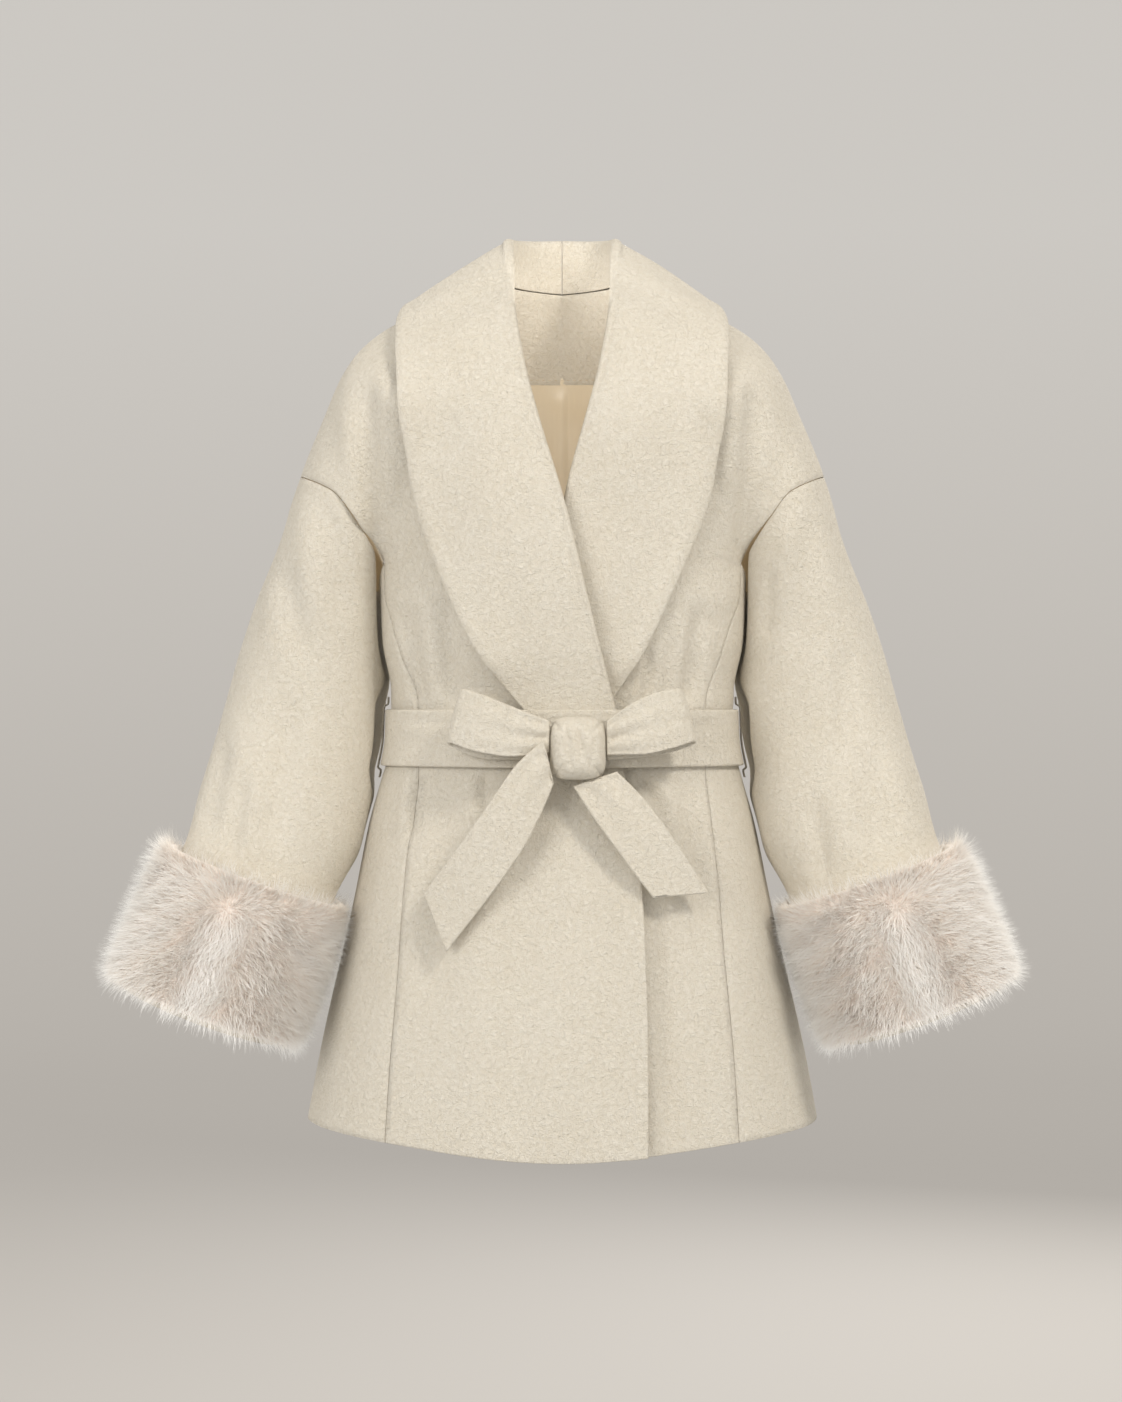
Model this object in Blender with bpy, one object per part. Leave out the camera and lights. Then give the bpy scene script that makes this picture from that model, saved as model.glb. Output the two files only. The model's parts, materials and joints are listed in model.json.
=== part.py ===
"""Wrap coat in felted wool: shawl collar, dropped sleeves with fur cuffs, tied belt.

Metres, +Z up. The front faces -Y and the wearer's right is -X. The origin is midway between the
shoulders, at the height of the shoulder seams. Every piece of cloth is a closed wall between an
outer and an inner grid of points, worked out from the tables of sections below.
"""
import math

import bmesh
import bpy
import numpy as np

# Walls and clearances
SEAM = 0.00015           # each piece keeps this back from a seam line, so two are 0.3 mm apart
WOOL = 0.0024            # wall of the coating wool
COLLAR_WALL = 0.0030     # collar, two layers
BELT_WALL = 0.0030       # belt, two layers
SATIN = 0.0010           # lining
SLEEVE_CLEAR = 0.0028    # between a sleeve and the body
CARRIER_CLEAR = 0.0125   # more of it beside the belt carriers
CARRIER_NEAR = 0.035     # over this height above and below the belt
CLEAR_SOFT = 0.0040      # how softly a sleeve turns aside
CUFF_LINING = 0.0022     # between a sleeve and its cuff
FUR_REACH = 0.0320       # from the sleeve to the tips of the cuff's fur

# Heights
UNDERARM = -0.241        # where the princess seams meet the armholes
BELT_TOP = -0.379
BELT_BOTTOM = -0.432
HEM = -0.790
HEM_RISE = 0.022         # the hem is this much higher at the sides
TOP_OF_BACK = 0.0295     # just under the collar's seam
TOP_OF_FRONT = 0.0280

SECTION_POWER = 2.3      # roundness of the body's sections, 2 is an ellipse
BLEND = 3.2              # how softly chest and sleeve run into each other

# Body sections from hem to shoulder: half width at the side, depth in front and behind.
# Those above the underarm only shape the chest inside the shoulder's outline.
BODY = [  # z, half_width, front, back
    (-0.800, 0.250, 0.158, 0.160),
    (-0.693, 0.230, 0.150, 0.152),
    (-0.560, 0.199, 0.138, 0.140),
    (-0.487, 0.184, 0.127, 0.129),
    (-0.430, 0.169, 0.114, 0.116),
    (-0.405, 0.165, 0.111, 0.113),
    (-0.363, 0.164, 0.110, 0.112),
    (-0.315, 0.173, 0.115, 0.118),
    (-0.241, 0.178, 0.119, 0.123),
    (-0.200, 0.190, 0.119, 0.124),
    (-0.150, 0.207, 0.118, 0.125),
    (-0.050, 0.226, 0.112, 0.124),
    (0.060, 0.250, 0.108, 0.122),
]

# Outline of shoulder and upper arm from the front; inside the neck it is a guide only.
# reach is how far inside it the cloth comes to its full depth, arm how much of the sleeve's
# own roundness it has.
OUTLINE = [  # way, x, z, reach, arm
    (0.00, 0.000, 0.072, 0.170, 0.0),
    (0.08, 0.020, 0.066, 0.170, 0.0),
    (0.16, 0.040, 0.048, 0.165, 0.0),
    (0.24, 0.058, 0.028, 0.160, 0.0),
    (0.40, 0.100, 0.014, 0.140, 0.0),
    (0.55, 0.155, -0.005, 0.110, 0.2),
    (0.64, 0.181, -0.020, 0.095, 0.5),
    (0.72, 0.199, -0.037, 0.085, 0.8),
    (0.80, 0.216, -0.064, 0.075, 1.0),
    (0.87, 0.229, -0.095, 0.065, 1.0),
    (1.00, 0.253, -0.156, 0.056, 1.0),
    (1.30, 0.288, -0.271, 0.056, 1.0),
]
NECK_WAY = 0.24
RIDGE_WAYS = [0.24, 0.32, 0.40, 0.475, 0.55, 0.64, 0.72, 0.80, 0.90, 1.00]
NECK_WAYS = [0.0, 0.08, 0.16]
ARM_HALF_WIDTH = 0.055
ARM_HALF_DEPTH = 0.088
ARM_BACK = 0.015         # the arm's middle lies this far behind the body's
MEAN_RADIUS = 0.170      # of the body's sections, to turn a gap at a seam into an angle

# Sleeve sections from above the armhole to the cuff's end, across an axis that leans outwards
SLEEVE = [  # way, x, z, y, half_width, half_depth, lean in degrees
    (-0.045, 0.1988, -0.1670, 0.015, 0.0550, 0.087, 17.0),
    (0.000, 0.2120, -0.2100, 0.015, 0.0550, 0.088, 17.0),
    (0.100, 0.2316, -0.3075, 0.017, 0.0700, 0.080, 17.0),
    (0.160, 0.2410, -0.3670, 0.014, 0.0785, 0.076, 17.0),
    (0.270, 0.2650, -0.4735, -0.014, 0.0834, 0.070, 17.5),
    (0.333, 0.2865, -0.5325, -0.036, 0.0760, 0.062, 19.6),
    (0.480, 0.3410, -0.6710, -0.066, 0.0770, 0.062, 21.0),
]
CUFF_TOP = 0.326
CUFF_END = 0.478

# Armhole seam on the sleeve's own tube: where the seam lies along it, by the cosine of the angle
# round the tube from its outermost line (1) to the underarm (-1)
ARMHOLE = [  # cosine, way
    (-1.000, 0.0396),
    (-0.840, 0.0180),
    (-0.650, 0.0037),
    (-0.233, -0.0165),
    (0.265, -0.0340),
    (1.000, -0.0400),
]
FRONT_TURN = math.radians(147.0)   # where the princess seams meet the armhole, round the tube
TUBE_WHOLLY = 0.55       # share of that turn up to which the walls at the seam follow the tube
TUBE_GONE = 0.80
EDGE_BLEND = 0.60        # share of a panel from which its depth runs into the seam's

# Princess seams: how far from the middle
PRINCESS = [  # z, x
    (-0.800, 0.1655),
    (-0.716, 0.1605),
    (-0.613, 0.1520),
    (-0.552, 0.1480),
    (-0.478, 0.1400),
    (-0.433, 0.1355),
    (-0.377, 0.1355),
    (-0.333, 0.1485),
    (-0.298, 0.1600),
    (-0.275, 0.1680),
    (-0.241, 0.1700),
]

# Front edges: the collar joins above the belt, below it the edge runs free. Negative is past the
# centre, towards the other side.
OVER_EDGE = [  # z, x of the front that lies on top
    (-0.800, -0.078),
    (-0.690, -0.0775),
    (-0.600, -0.075),
    (-0.500, -0.069),
    (-0.430, -0.055),
    (-0.378, -0.034),
    (-0.340, -0.022),
    (-0.263, 0.000),
    (-0.188, 0.020),
    (-0.107, 0.045),
    (-0.060, 0.056),
    (-0.002, 0.064),
    (0.030, 0.058),
]
UNDER_EDGE = [  # z, x of the front underneath
    (-0.800, -0.070),
    (-0.700, -0.070),
    (-0.550, -0.055),
    (-0.440, -0.020),
    (-0.380, 0.004),
    (-0.340, 0.010),
    (-0.263, 0.014),
    (-0.188, 0.024),
    (-0.107, 0.045),
    (-0.060, 0.056),
    (-0.002, 0.064),
    (0.030, 0.058),
]
OVER_LIFT = [  # z, how far the top front stands off the form where it crosses
    (-0.800, 0.0055),
    (-0.480, 0.0060),
    (-0.420, 0.0110),
    (-0.190, 0.0110),
    (-0.130, 0.0025),
    (-0.080, 0.0),
]

LIFT_FULL = 0.060        # the lift is whole as far as this from the middle
LIFT_NONE = 0.135        # and gone here

# Collar, from the middle of the back (0) over the shoulder (0.38) down to the belt (1): the seam
# to the neck and front edge, the roll, the outer edge, which way the roll faces (0 is the front),
# how far roll and edge stand off the form, and the roll's own radius.
COLLAR_OVER = [  # way, seam x z, roll x y z, edge x z, facing, roll off, edge off, radius
    (0.00, 0.0000, 0.0300, 0.000, 0.076, 0.081, 0.000, -0.014, 180.0, 0.0, 0.006, 0.0040),
    (0.10, 0.0190, 0.0300, 0.019, 0.072, 0.080, 0.052, -0.014, 165.0, 0.0, 0.006, 0.0040),
    (0.20, 0.0380, 0.0300, 0.036, 0.058, 0.078, 0.104, -0.010, 143.0, 0.0, 0.006, 0.0040),
    (0.30, 0.0515, 0.0300, 0.048, 0.032, 0.075, 0.141, -0.001, 116.0, 0.0, 0.006, 0.0040),
    (0.38, 0.0560, 0.0300, 0.052, 0.000, 0.0715, 0.153, 0.003, 90.0, 0.0, 0.006, 0.0040),
    (0.46, 0.0600, 0.0130, 0.049, -0.036, 0.041, 0.155, -0.022, 52.0, 0.0, 0.006, 0.0040),
    (0.53, 0.0618, -0.0080, 0.046, -0.066, 0.002, 0.153, -0.058, 24.0, 0.010, 0.006, 0.0038),
    (0.61, 0.0532, -0.0640, 0.035, -0.100, -0.062, 0.151, -0.101, 8.0, 0.009, 0.006, 0.0035),
    (0.69, 0.0415, -0.1130, 0.022, -0.110, -0.112, 0.143, -0.146, 0.0, 0.008, 0.006, 0.0035),
    (0.77, 0.0200, -0.1880, -0.001, -0.120, -0.188, 0.131, -0.200, 0.0, 0.008, 0.006, 0.0035),
    (0.85, 0.0000, -0.2590, -0.018, -0.120, -0.258, 0.105, -0.268, 0.0, 0.008, 0.006, 0.0035),
    (0.92, -0.0160, -0.3130, -0.031, -0.120, -0.312, 0.078, -0.325, 0.0, 0.007, 0.006, 0.0030),
    (1.00, -0.0390, -0.3860, -0.050, -0.120, -0.386, 0.030, -0.386, 0.0, 0.0022, 0.0036, 0.0018),
]
COLLAR_UNDER_END = [
    (0.77, 0.0220, -0.1880, 0.003, -0.120, -0.184, 0.131, -0.196, 0.0, 0.0030, 0.0040, 0.0020),
    (0.85, 0.0130, -0.2560, -0.006, -0.120, -0.254, 0.103, -0.264, 0.0, 0.0022, 0.0038, 0.0018),
    (0.92, 0.0095, -0.3130, -0.009, -0.120, -0.312, 0.076, -0.324, 0.0, 0.0022, 0.0036, 0.0018),
    (1.00, 0.0000, -0.3860, -0.014, -0.120, -0.386, 0.036, -0.386, 0.0, 0.0022, 0.0034, 0.0018),
]
COLLAR_UNDER = [row for row in COLLAR_OVER if row[0] < 0.77] + COLLAR_UNDER_END
COLLAR_SHOULDER = 0.38
COLLAR_ON_CHEST = 0.53
FRONT_SEAM = 0.0014       # gap of the hidden seam between a front and its collar
COLLAR_WAYS = [0.0, 0.06, 0.12, 0.18, 0.24, 0.29, 0.335, 0.38, 0.42, 0.46, 0.50, 0.54, 0.58,
               0.63, 0.69, 0.75, 0.81, 0.87, 0.93, 1.0]
COLLAR_CROWN = 0.006      # how much the fall bulges over the shoulders
COLLAR_FALL = [0.18, 0.42, 0.68, 0.88, 1.0]

# Belt: how far its inside stands off the form, x from the wearer's right to the left
BELT_STAND = [  # x, stand
    (-0.165, 0.0020),
    (-0.140, 0.0022),
    (-0.115, 0.0044),
    (-0.090, 0.0095),
    (-0.045, 0.0180),
    (0.050, 0.0180),
    (0.090, 0.0050),
    (0.115, 0.0022),
    (0.165, 0.0020),
]
CARRIER_PATH = [  # z, stand of its middle off the form
    (-0.3670, 0.0026),
    (-0.3730, 0.0026),
    (-0.3765, 0.0069),
    (-0.4345, 0.0069),
    (-0.4380, 0.0030),
    (-0.4440, 0.0030),
]
CARRIER_WALL = 0.0015
CARRIER_HALF = 0.0050

# Bow: strips as rows from one end to the other, each row the belt's two edges seen from the front
BOW_RIGHT = [  # x_top, z_top, x_bottom, z_bottom, y
    (-0.0116, -0.3890, -0.0116, -0.4180, -0.1510),
    (-0.0400, -0.3780, -0.0450, -0.4215, -0.1570),
    (-0.0700, -0.3660, -0.0780, -0.4170, -0.1530),
    (-0.0890, -0.3600, -0.1010, -0.4095, -0.1410),
    (-0.0915, -0.3612, -0.1040, -0.4105, -0.1345),
    (-0.0880, -0.3640, -0.1000, -0.4135, -0.1285),
    (-0.0600, -0.3720, -0.0660, -0.4245, -0.1355),
    (-0.0116, -0.3920, -0.0116, -0.4250, -0.1390),
]
BOW_LEFT = [
    (0.0406, -0.3890, 0.0406, -0.4200, -0.1510),
    (0.0620, -0.3740, 0.0720, -0.4195, -0.1570),
    (0.0880, -0.3625, 0.1000, -0.4140, -0.1520),
    (0.1060, -0.3595, 0.1190, -0.4085, -0.1390),
    (0.1085, -0.3612, 0.1215, -0.4097, -0.1325),
    (0.1040, -0.3640, 0.1170, -0.4125, -0.1265),
    (0.0750, -0.3700, 0.0840, -0.4215, -0.1290),
    (0.0406, -0.3920, 0.0406, -0.4250, -0.1390),
]
TAIL_RIGHT = [  # x, z and y of the outer edge, x, z and y of the inner edge
    (-0.0165, -0.4060, -0.1605, -0.0075, -0.4455, -0.1600),
    (-0.0400, -0.4270, -0.1620, -0.0120, -0.4570, -0.1610),
    (-0.0700, -0.4690, -0.1590, -0.0300, -0.4960, -0.1610),
    (-0.0980, -0.5080, -0.1500, -0.0560, -0.5350, -0.1580),
    (-0.1260, -0.5465, -0.1340, -0.1050, -0.5995, -0.1440),
]
TAIL_LEFT = [
    (0.0100, -0.4485, -0.1480, 0.0500, -0.4350, -0.1480),
    (0.0256, -0.4730, -0.1520, 0.0720, -0.4570, -0.1500),
    (0.0480, -0.5040, -0.1540, 0.0920, -0.4820, -0.1480),
    (0.0680, -0.5310, -0.1530, 0.1110, -0.5100, -0.1420),
    (0.0830, -0.5500, -0.1510, 0.1340, -0.5465, -0.1330),
]
KNOT_CENTRE = (0.0145, -0.4143)
KNOT_HALF = (0.0257, 0.0287)
KNOT_BACK = -0.1372
KNOT_EDGE = -0.1440
KNOT_FRONT = -0.1665
STRIP_COLUMNS = 4


def read(rows, column, at):
    """Smooth value of a table's column where its first column has the given values."""
    cells = np.array(sorted(rows), dtype=float)
    knots = cells[:, 0]
    values = cells[:, column]
    steps = np.diff(knots)
    slopes = np.diff(values) / steps
    tangents = np.zeros(len(knots))
    product = slopes[:-1] * slopes[1:]
    total = slopes[:-1] + slopes[1:]
    rising = product > 0
    tangents[1:-1][rising] = 2.0 * product[rising] / total[rising]
    tangents[0] = slopes[0]
    tangents[-1] = slopes[-1]
    where = np.clip(np.asarray(at, dtype=float), knots[0], knots[-1])
    i = np.clip(np.searchsorted(knots, where) - 1, 0, len(steps) - 1)
    t = (where - knots[i]) / steps[i]
    rest = 1.0 - t
    return (values[i] * rest * rest * (1.0 + 2.0 * t)
            + tangents[i] * steps[i] * t * rest * rest
            + values[i + 1] * t * t * (3.0 - 2.0 * t)
            - tangents[i + 1] * steps[i] * t * t * rest)


def ramp(value, start, end):
    """Soft step from 0 at start to 1 at end."""
    t = np.clip((np.asarray(value, dtype=float) - start) / (end - start), 0.0, 1.0)
    return t * t * (3.0 - 2.0 * t)


def unit(vectors):
    """The vectors at length one."""
    return vectors / np.maximum(np.linalg.norm(vectors, axis=-1, keepdims=True), 1e-12)


def points(x, y, z):
    """Coordinates put together as points."""
    return np.stack(np.broadcast_arrays(x, y, z), axis=-1)


# ---------------------------------------------------------------- the garment's outer form

def around_body(theta, z, out=0.0):
    """Point of the body below the underarm; theta is 0 in front, 90 degrees at the side."""
    sine = np.sin(theta)
    cosine = np.cos(theta)
    wide = read(BODY, 1, z)
    deep = np.where(cosine > 0.0, read(BODY, 2, z), read(BODY, 3, z))
    term = np.abs(sine / wide) ** SECTION_POWER + np.abs(cosine / deep) ** SECTION_POWER
    reach = term ** (-1.0 / SECTION_POWER) + out
    return points(reach * sine, -reach * cosine, z)


def angle_at(x, z, back):
    """Angle round the body where it is this far from the middle."""
    share = np.clip(np.abs(x) / read(BODY, 1, z), 0.0, 1.0)
    deep = read(BODY, 3 if back else 2, z) * (1.0 - share ** SECTION_POWER) ** (1.0 / SECTION_POWER)
    theta = np.arctan2(x, deep)
    return math.pi - theta if back else theta


LINE_WAY = np.linspace(OUTLINE[0][0], OUTLINE[-1][0], 90)
LINE = np.stack([read(OUTLINE, 1, LINE_WAY), read(OUTLINE, 2, LINE_WAY)], axis=-1)


def to_outline(x, z):
    """Distance inside the shoulder's outline, and the way along it of the nearest point."""
    place = np.stack([np.abs(x), z], axis=-1)[..., None, :]
    start = LINE[:-1]
    step = LINE[1:] - start
    share = np.clip(((place - start) * step).sum(-1) / (step * step).sum(-1), 0.0, 1.0)
    offset = place - (start + share[..., None] * step)
    gap = np.linalg.norm(offset, axis=-1)
    nearest = np.argmin(gap, axis=-1)[..., None]
    side = step[:, 0] * offset[..., 1] - step[:, 1] * offset[..., 0]
    distance = np.take_along_axis(gap, nearest, -1)[..., 0]
    above = np.take_along_axis(side, nearest, -1)[..., 0] > 0.0
    way = np.take_along_axis(LINE_WAY[:-1] + share * np.diff(LINE_WAY), nearest, -1)[..., 0]
    return np.where(above, 0.0, distance), way


def form_depth(x, z, back):
    """How deep the cloth is in front or behind at a place seen from the front."""
    x, z = np.broadcast_arrays(np.asarray(x, dtype=float), np.asarray(z, dtype=float))
    share = np.clip(np.abs(x) / read(BODY, 1, z), 0.0, 1.0)
    body = read(BODY, 3 if back else 2, z) * (1.0 - share ** SECTION_POWER) ** (1.0 / SECTION_POWER)
    distance, way = to_outline(x, z)
    inside = np.clip(distance / read(OUTLINE, 3, way), 0.0, 1.0)
    body = body * np.sqrt(1.0 - (1.0 - inside) ** 2)
    across = (distance - ARM_HALF_WIDTH) / ARM_HALF_WIDTH
    arm = ARM_HALF_DEPTH * np.sqrt(np.clip(1.0 - across ** 2, 0.0, 1.0)) * read(OUTLINE, 4, way)
    arm = arm * ramp(z, UNDERARM - 0.03, UNDERARM)
    return (body ** BLEND + arm ** BLEND) ** (1.0 / BLEND)


def form_y(x, z, back):
    """The form's y at a place seen from the front."""
    middle = ARM_BACK * ramp(np.abs(x), 0.12, 0.20) * ramp(z, UNDERARM - 0.02, UNDERARM + 0.04)
    return middle + (1.0 if back else -1.0) * form_depth(x, z, back)


def sleeve_point(way, turn, out=0.0):
    """Point of the right-hand-side sleeve; turn is 0 on its outermost line, 90 degrees in front."""
    lean = np.radians(read(SLEEVE, 6, way))
    wide = (read(SLEEVE, 4, way) + out) * np.cos(turn)
    deep = (read(SLEEVE, 5, way) + out) * np.sin(turn)
    x = read(SLEEVE, 1, way) + wide * np.cos(lean)
    y = read(SLEEVE, 3, way) - deep
    z = read(SLEEVE, 2, way) + wide * np.sin(lean)
    return points(x, y, z)


def clear_of_body(place, clearance):
    """Pushes points of a sleeve or cuff outwards until they clear the body."""
    x, y, z = place[..., 0], place[..., 1], place[..., 2]
    deep = np.where(y < 0.0, read(BODY, 2, z), read(BODY, 3, z))
    share = np.clip(np.abs(y) / deep, 0.0, 1.0)
    limit = read(BODY, 1, z) * (1.0 - share ** SECTION_POWER) ** (1.0 / SECTION_POWER)
    below = ramp(z, BELT_BOTTOM - CARRIER_NEAR, BELT_BOTTOM)
    above = 1.0 - ramp(z, BELT_TOP, BELT_TOP + CARRIER_NEAR)
    short = limit + clearance + CARRIER_CLEAR * below * above - x
    eased = (short + CLEAR_SOFT) ** 2 / (4.0 * CLEAR_SOFT)
    push = np.where(np.abs(short) < CLEAR_SOFT, eased, np.maximum(short, 0.0))
    moved = place.copy()
    moved[..., 0] = x + push
    return moved


def normals_of(grid, around=False):
    """Unit normals of a grid of points."""
    if around:
        wrapped = np.concatenate([grid[:, -1:], grid, grid[:, :1]], axis=1)
        across = np.gradient(wrapped, axis=1)[:, 1:-1]
    else:
        across = np.gradient(grid, axis=1)
    along = np.gradient(grid, axis=0)
    return unit(np.cross(across, along))


# ---------------------------------------------------------------- solids

def material(name, color, roughness):
    """Plain finish of a piece."""
    finish = bpy.data.materials.new(name)
    finish.use_nodes = True
    shader = finish.node_tree.nodes["Principled BSDF"]
    shader.inputs["Base Color"].default_value = (*color, 1.0)
    shader.inputs["Roughness"].default_value = roughness
    shader.inputs["Metallic"].default_value = 0.0
    return finish


def halves(grid, i, j, k):
    """The two triangles of a grid's cell, cut along its shorter diagonal."""
    a, b, c, d = (i, j), (i, k), (i + 1, k), (i + 1, j)
    if np.linalg.norm(grid[a] - grid[c]) <= np.linalg.norm(grid[b] - grid[d]):
        return (a, b, c), (a, c, d)
    return (a, b, d), (b, c, d)


def solid(name, outer, inner, color, roughness=0.9, around=False, mirror=False):
    """Closed wall between two grids of points of the same shape."""
    if mirror:
        flip = np.array([-1.0, 1.0, 1.0])
        outer = outer * flip
        inner = inner * flip
    rows, columns = outer.shape[:2]
    count = rows * columns
    index = np.arange(count).reshape(rows, columns)
    faces = []
    pairs = [(j, (j + 1) % columns) for j in range(columns if around else columns - 1)]
    for i in range(rows - 1):
        for j, k in pairs:
            for corners in halves(outer, i, j, k):
                ring = [index[corner] for corner in corners]
                faces.append(ring)
                faces.append([corner + count for corner in reversed(ring)])
    for j, k in pairs:
        faces.append([index[0, k], index[0, j], index[0, j] + count, index[0, k] + count])
        faces.append([index[-1, j], index[-1, k], index[-1, k] + count, index[-1, j] + count])
    if not around:
        for i in range(rows - 1):
            faces.append([index[i, 0], index[i + 1, 0], index[i + 1, 0] + count, index[i, 0] + count])
            faces.append([index[i + 1, -1], index[i, -1], index[i, -1] + count, index[i + 1, -1] + count])
    mesh = bpy.data.meshes.new(name)
    corners = np.concatenate([outer.reshape(-1, 3), inner.reshape(-1, 3)])
    mesh.from_pydata(corners.tolist(), [], [[int(corner) for corner in face] for face in faces])
    shell = bmesh.new()
    shell.from_mesh(mesh)
    bmesh.ops.recalc_face_normals(shell, faces=shell.faces)
    shell.to_mesh(mesh)
    shell.free()
    mesh.materials.append(material(name, color, roughness))
    piece = bpy.data.objects.new(name, mesh)
    bpy.context.scene.collection.objects.link(piece)
    return piece


IVORY_WOOL = (0.80, 0.74, 0.62)
CREAM_SATIN = (0.72, 0.60, 0.45)
PALE_FUR = (0.79, 0.71, 0.62)


def patch(top, bottom, inner, outer):
    """Grid of places inside four edge lines, rows from top to bottom, columns inner to outer."""
    rows = len(inner)
    columns = len(top)
    v = np.linspace(0.0, 1.0, rows)[:, None, None]
    u = np.linspace(0.0, 1.0, columns)[None, :, None]
    ruled = (1 - v) * top[None] + v * bottom[None] + (1 - u) * inner[:, None] + u * outer[:, None]
    corners = ((1 - u) * (1 - v) * top[0] + u * (1 - v) * top[-1]
               + (1 - u) * v * bottom[0] + u * v * bottom[-1])
    return ruled - corners


def hem_height(theta):
    """Height of the hem round the body."""
    return HEM + HEM_RISE * np.sin(theta) ** 2


LOWER_ROWS = [0.0, 0.07, 0.14, 0.21, 0.28, 0.335, 0.42, 0.54, 0.68, 0.83, 1.0]
UPPER_ROWS = 10


def lower_panel(edge_x, lift, columns, back):
    """Grid of a body panel below the underarm, from its front or centre edge to the princess seam."""
    side = 1.0 if back else -1.0
    rows = []
    for share in LOWER_ROWS:
        z = UNDERARM + (HEM - UNDERARM) * share
        first = float(angle_at(edge_x(z), z, back))
        last = float(princess_angle(z, back, SEAM))
        theta = np.linspace(first, last, columns)
        row = around_body(theta, UNDERARM + (hem_height(theta) - UNDERARM) * share)
        row[:, 1] += side * lift(row[:, 0], row[:, 2])
        rows.append(row)
    return np.array(rows)


def over_lift(x, z):
    """How far the top front stands off the form; x is positive on its own side."""
    return read(OVER_LIFT, 1, z) * (1.0 - ramp(x, LIFT_FULL, LIFT_NONE))


def no_lift(x, z):
    """The other panels lie on the form itself."""
    return 0.0 * np.asarray(x)


def over_edge(z):
    """Front edge of the front that lies on top."""
    return read(OVER_EDGE, 1, z)


def under_edge(z):
    """Front edge of the front underneath."""
    return read(UNDER_EDGE, 1, z)


def centre_back(z):
    """Centre back seam."""
    return SEAM + 0.0 * np.asarray(z)


def princess_angle(z, back, inset):
    """Angle of the princess seam, kept back from the seam line."""
    theta = angle_at(read(PRINCESS, 1, z), z, back)
    return theta + (1.0 if back else -1.0) * inset / MEAN_RADIUS


def armhole_edge(back):
    """Armhole edge of a front or back, from the shoulder seam down to the underarm."""
    turn = np.linspace(0.0, FRONT_TURN, UPPER_ROWS)
    way = read(ARMHOLE, 1, np.cos(turn)) - 2.0 * SEAM
    edge = sleeve_point(way, -turn if back else turn)
    edge[-1] = around_body(princess_angle(UNDERARM, back, 3.0 * SEAM), UNDERARM)
    return edge


def upper_panel(edge_x, lift, way, back, below):
    """Grid of a front or back over the chest and shoulder, drawn in from its four edges."""
    side = 1.0 if back else -1.0
    armhole = armhole_edge(back)
    inner_z = np.linspace(TOP_OF_BACK if back else TOP_OF_FRONT, UNDERARM, UPPER_ROWS)
    inner = np.stack([edge_x(inner_z), inner_z], axis=-1)
    top = np.stack([read(OUTLINE, 1, way), read(OUTLINE, 2, way)], axis=-1)
    if back:
        top[:, 1] = np.minimum(top[:, 1], TOP_OF_BACK)
    top[0] = inner[0]
    top[-1] = armhole[0][[0, 2]]
    flat = patch(top, below[:, [0, 2]], inner, armhole[:, [0, 2]])
    x, z = flat[..., 0], flat[..., 1]
    y = form_y(x, z, back) + side * lift(x, z)
    u = np.linspace(0.0, 1.0, len(way))[None, :]
    v = np.linspace(0.0, 1.0, UPPER_ROWS)[:, None]
    y = y + (armhole[:, 1] - y[:, -1])[:, None] * ramp(u, EDGE_BLEND, 1.0)
    y = y + (below[:, 1] - y[-1])[None, :] * ramp(v, EDGE_BLEND, 1.0)
    ridge = way >= NECK_WAY
    y[0, ridge] = ARM_BACK * ramp(x[0, ridge], 0.12, 0.20) + side * SEAM
    return points(x, y, z)


def body_panel(name, back, edge_x, lift, mirror):
    """Front or back: the part over the shoulder and chest, and the part below the underarm."""
    side = 1.0 if back else -1.0
    way = np.array(NECK_WAYS + RIDGE_WAYS if back else RIDGE_WAYS)
    ridge = way >= NECK_WAY
    lower = lower_panel(edge_x, lift, len(way), back)
    upper = upper_panel(edge_x, lift, way, back, lower[0])
    outer = np.concatenate([upper[:-1], lower])
    outward = normals_of(outer)
    if outward[UPPER_ROWS + 4, len(way) // 2, 1] * side < 0.0:
        outward = -outward
    outward[0, ridge, 1] = 0.0
    outward[0] = unit(outward[0])
    turn = np.linspace(0.0, FRONT_TURN, UPPER_ROWS)
    keep = along_armhole(turn)
    tube = sleeve_normals(-turn if back else turn)
    outward[:UPPER_ROWS, -1] = unit(tube * keep + outward[:UPPER_ROWS, -1] * (1.0 - keep))
    outward[UPPER_ROWS - 1:, -1] = body_normals(outer[UPPER_ROWS - 1:, -1])
    if back:
        outward[:, 0, 0] = 0.0
        outward[:, 0] = unit(outward[:, 0])
    inside = outer - outward * WOOL
    inside[0, ridge, 1] = outer[0, ridge, 1]
    return solid(name, outer, inside, IVORY_WOOL, mirror=mirror)


def along_armhole(turn):
    """How far the wall follows the sleeve's tube: wholly at the shoulder, not at the underarm."""
    return (1.0 - ramp(np.abs(turn) / FRONT_TURN, TUBE_WHOLLY, TUBE_GONE))[:, None]


def body_normals(place):
    """Outward normals of the body below the underarm."""
    theta = np.arctan2(place[..., 0], -place[..., 1])
    z = place[..., 2]
    step = 0.001
    across = around_body(theta + step, z) - around_body(theta - step, z)
    down = around_body(theta, z - step) - around_body(theta, z + step)
    found = unit(np.cross(down, across))
    facing = (found * points(np.sin(theta), -np.cos(theta), 0.0 * z)).sum(-1, keepdims=True)
    return np.where(facing < 0.0, -found, found)


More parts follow.
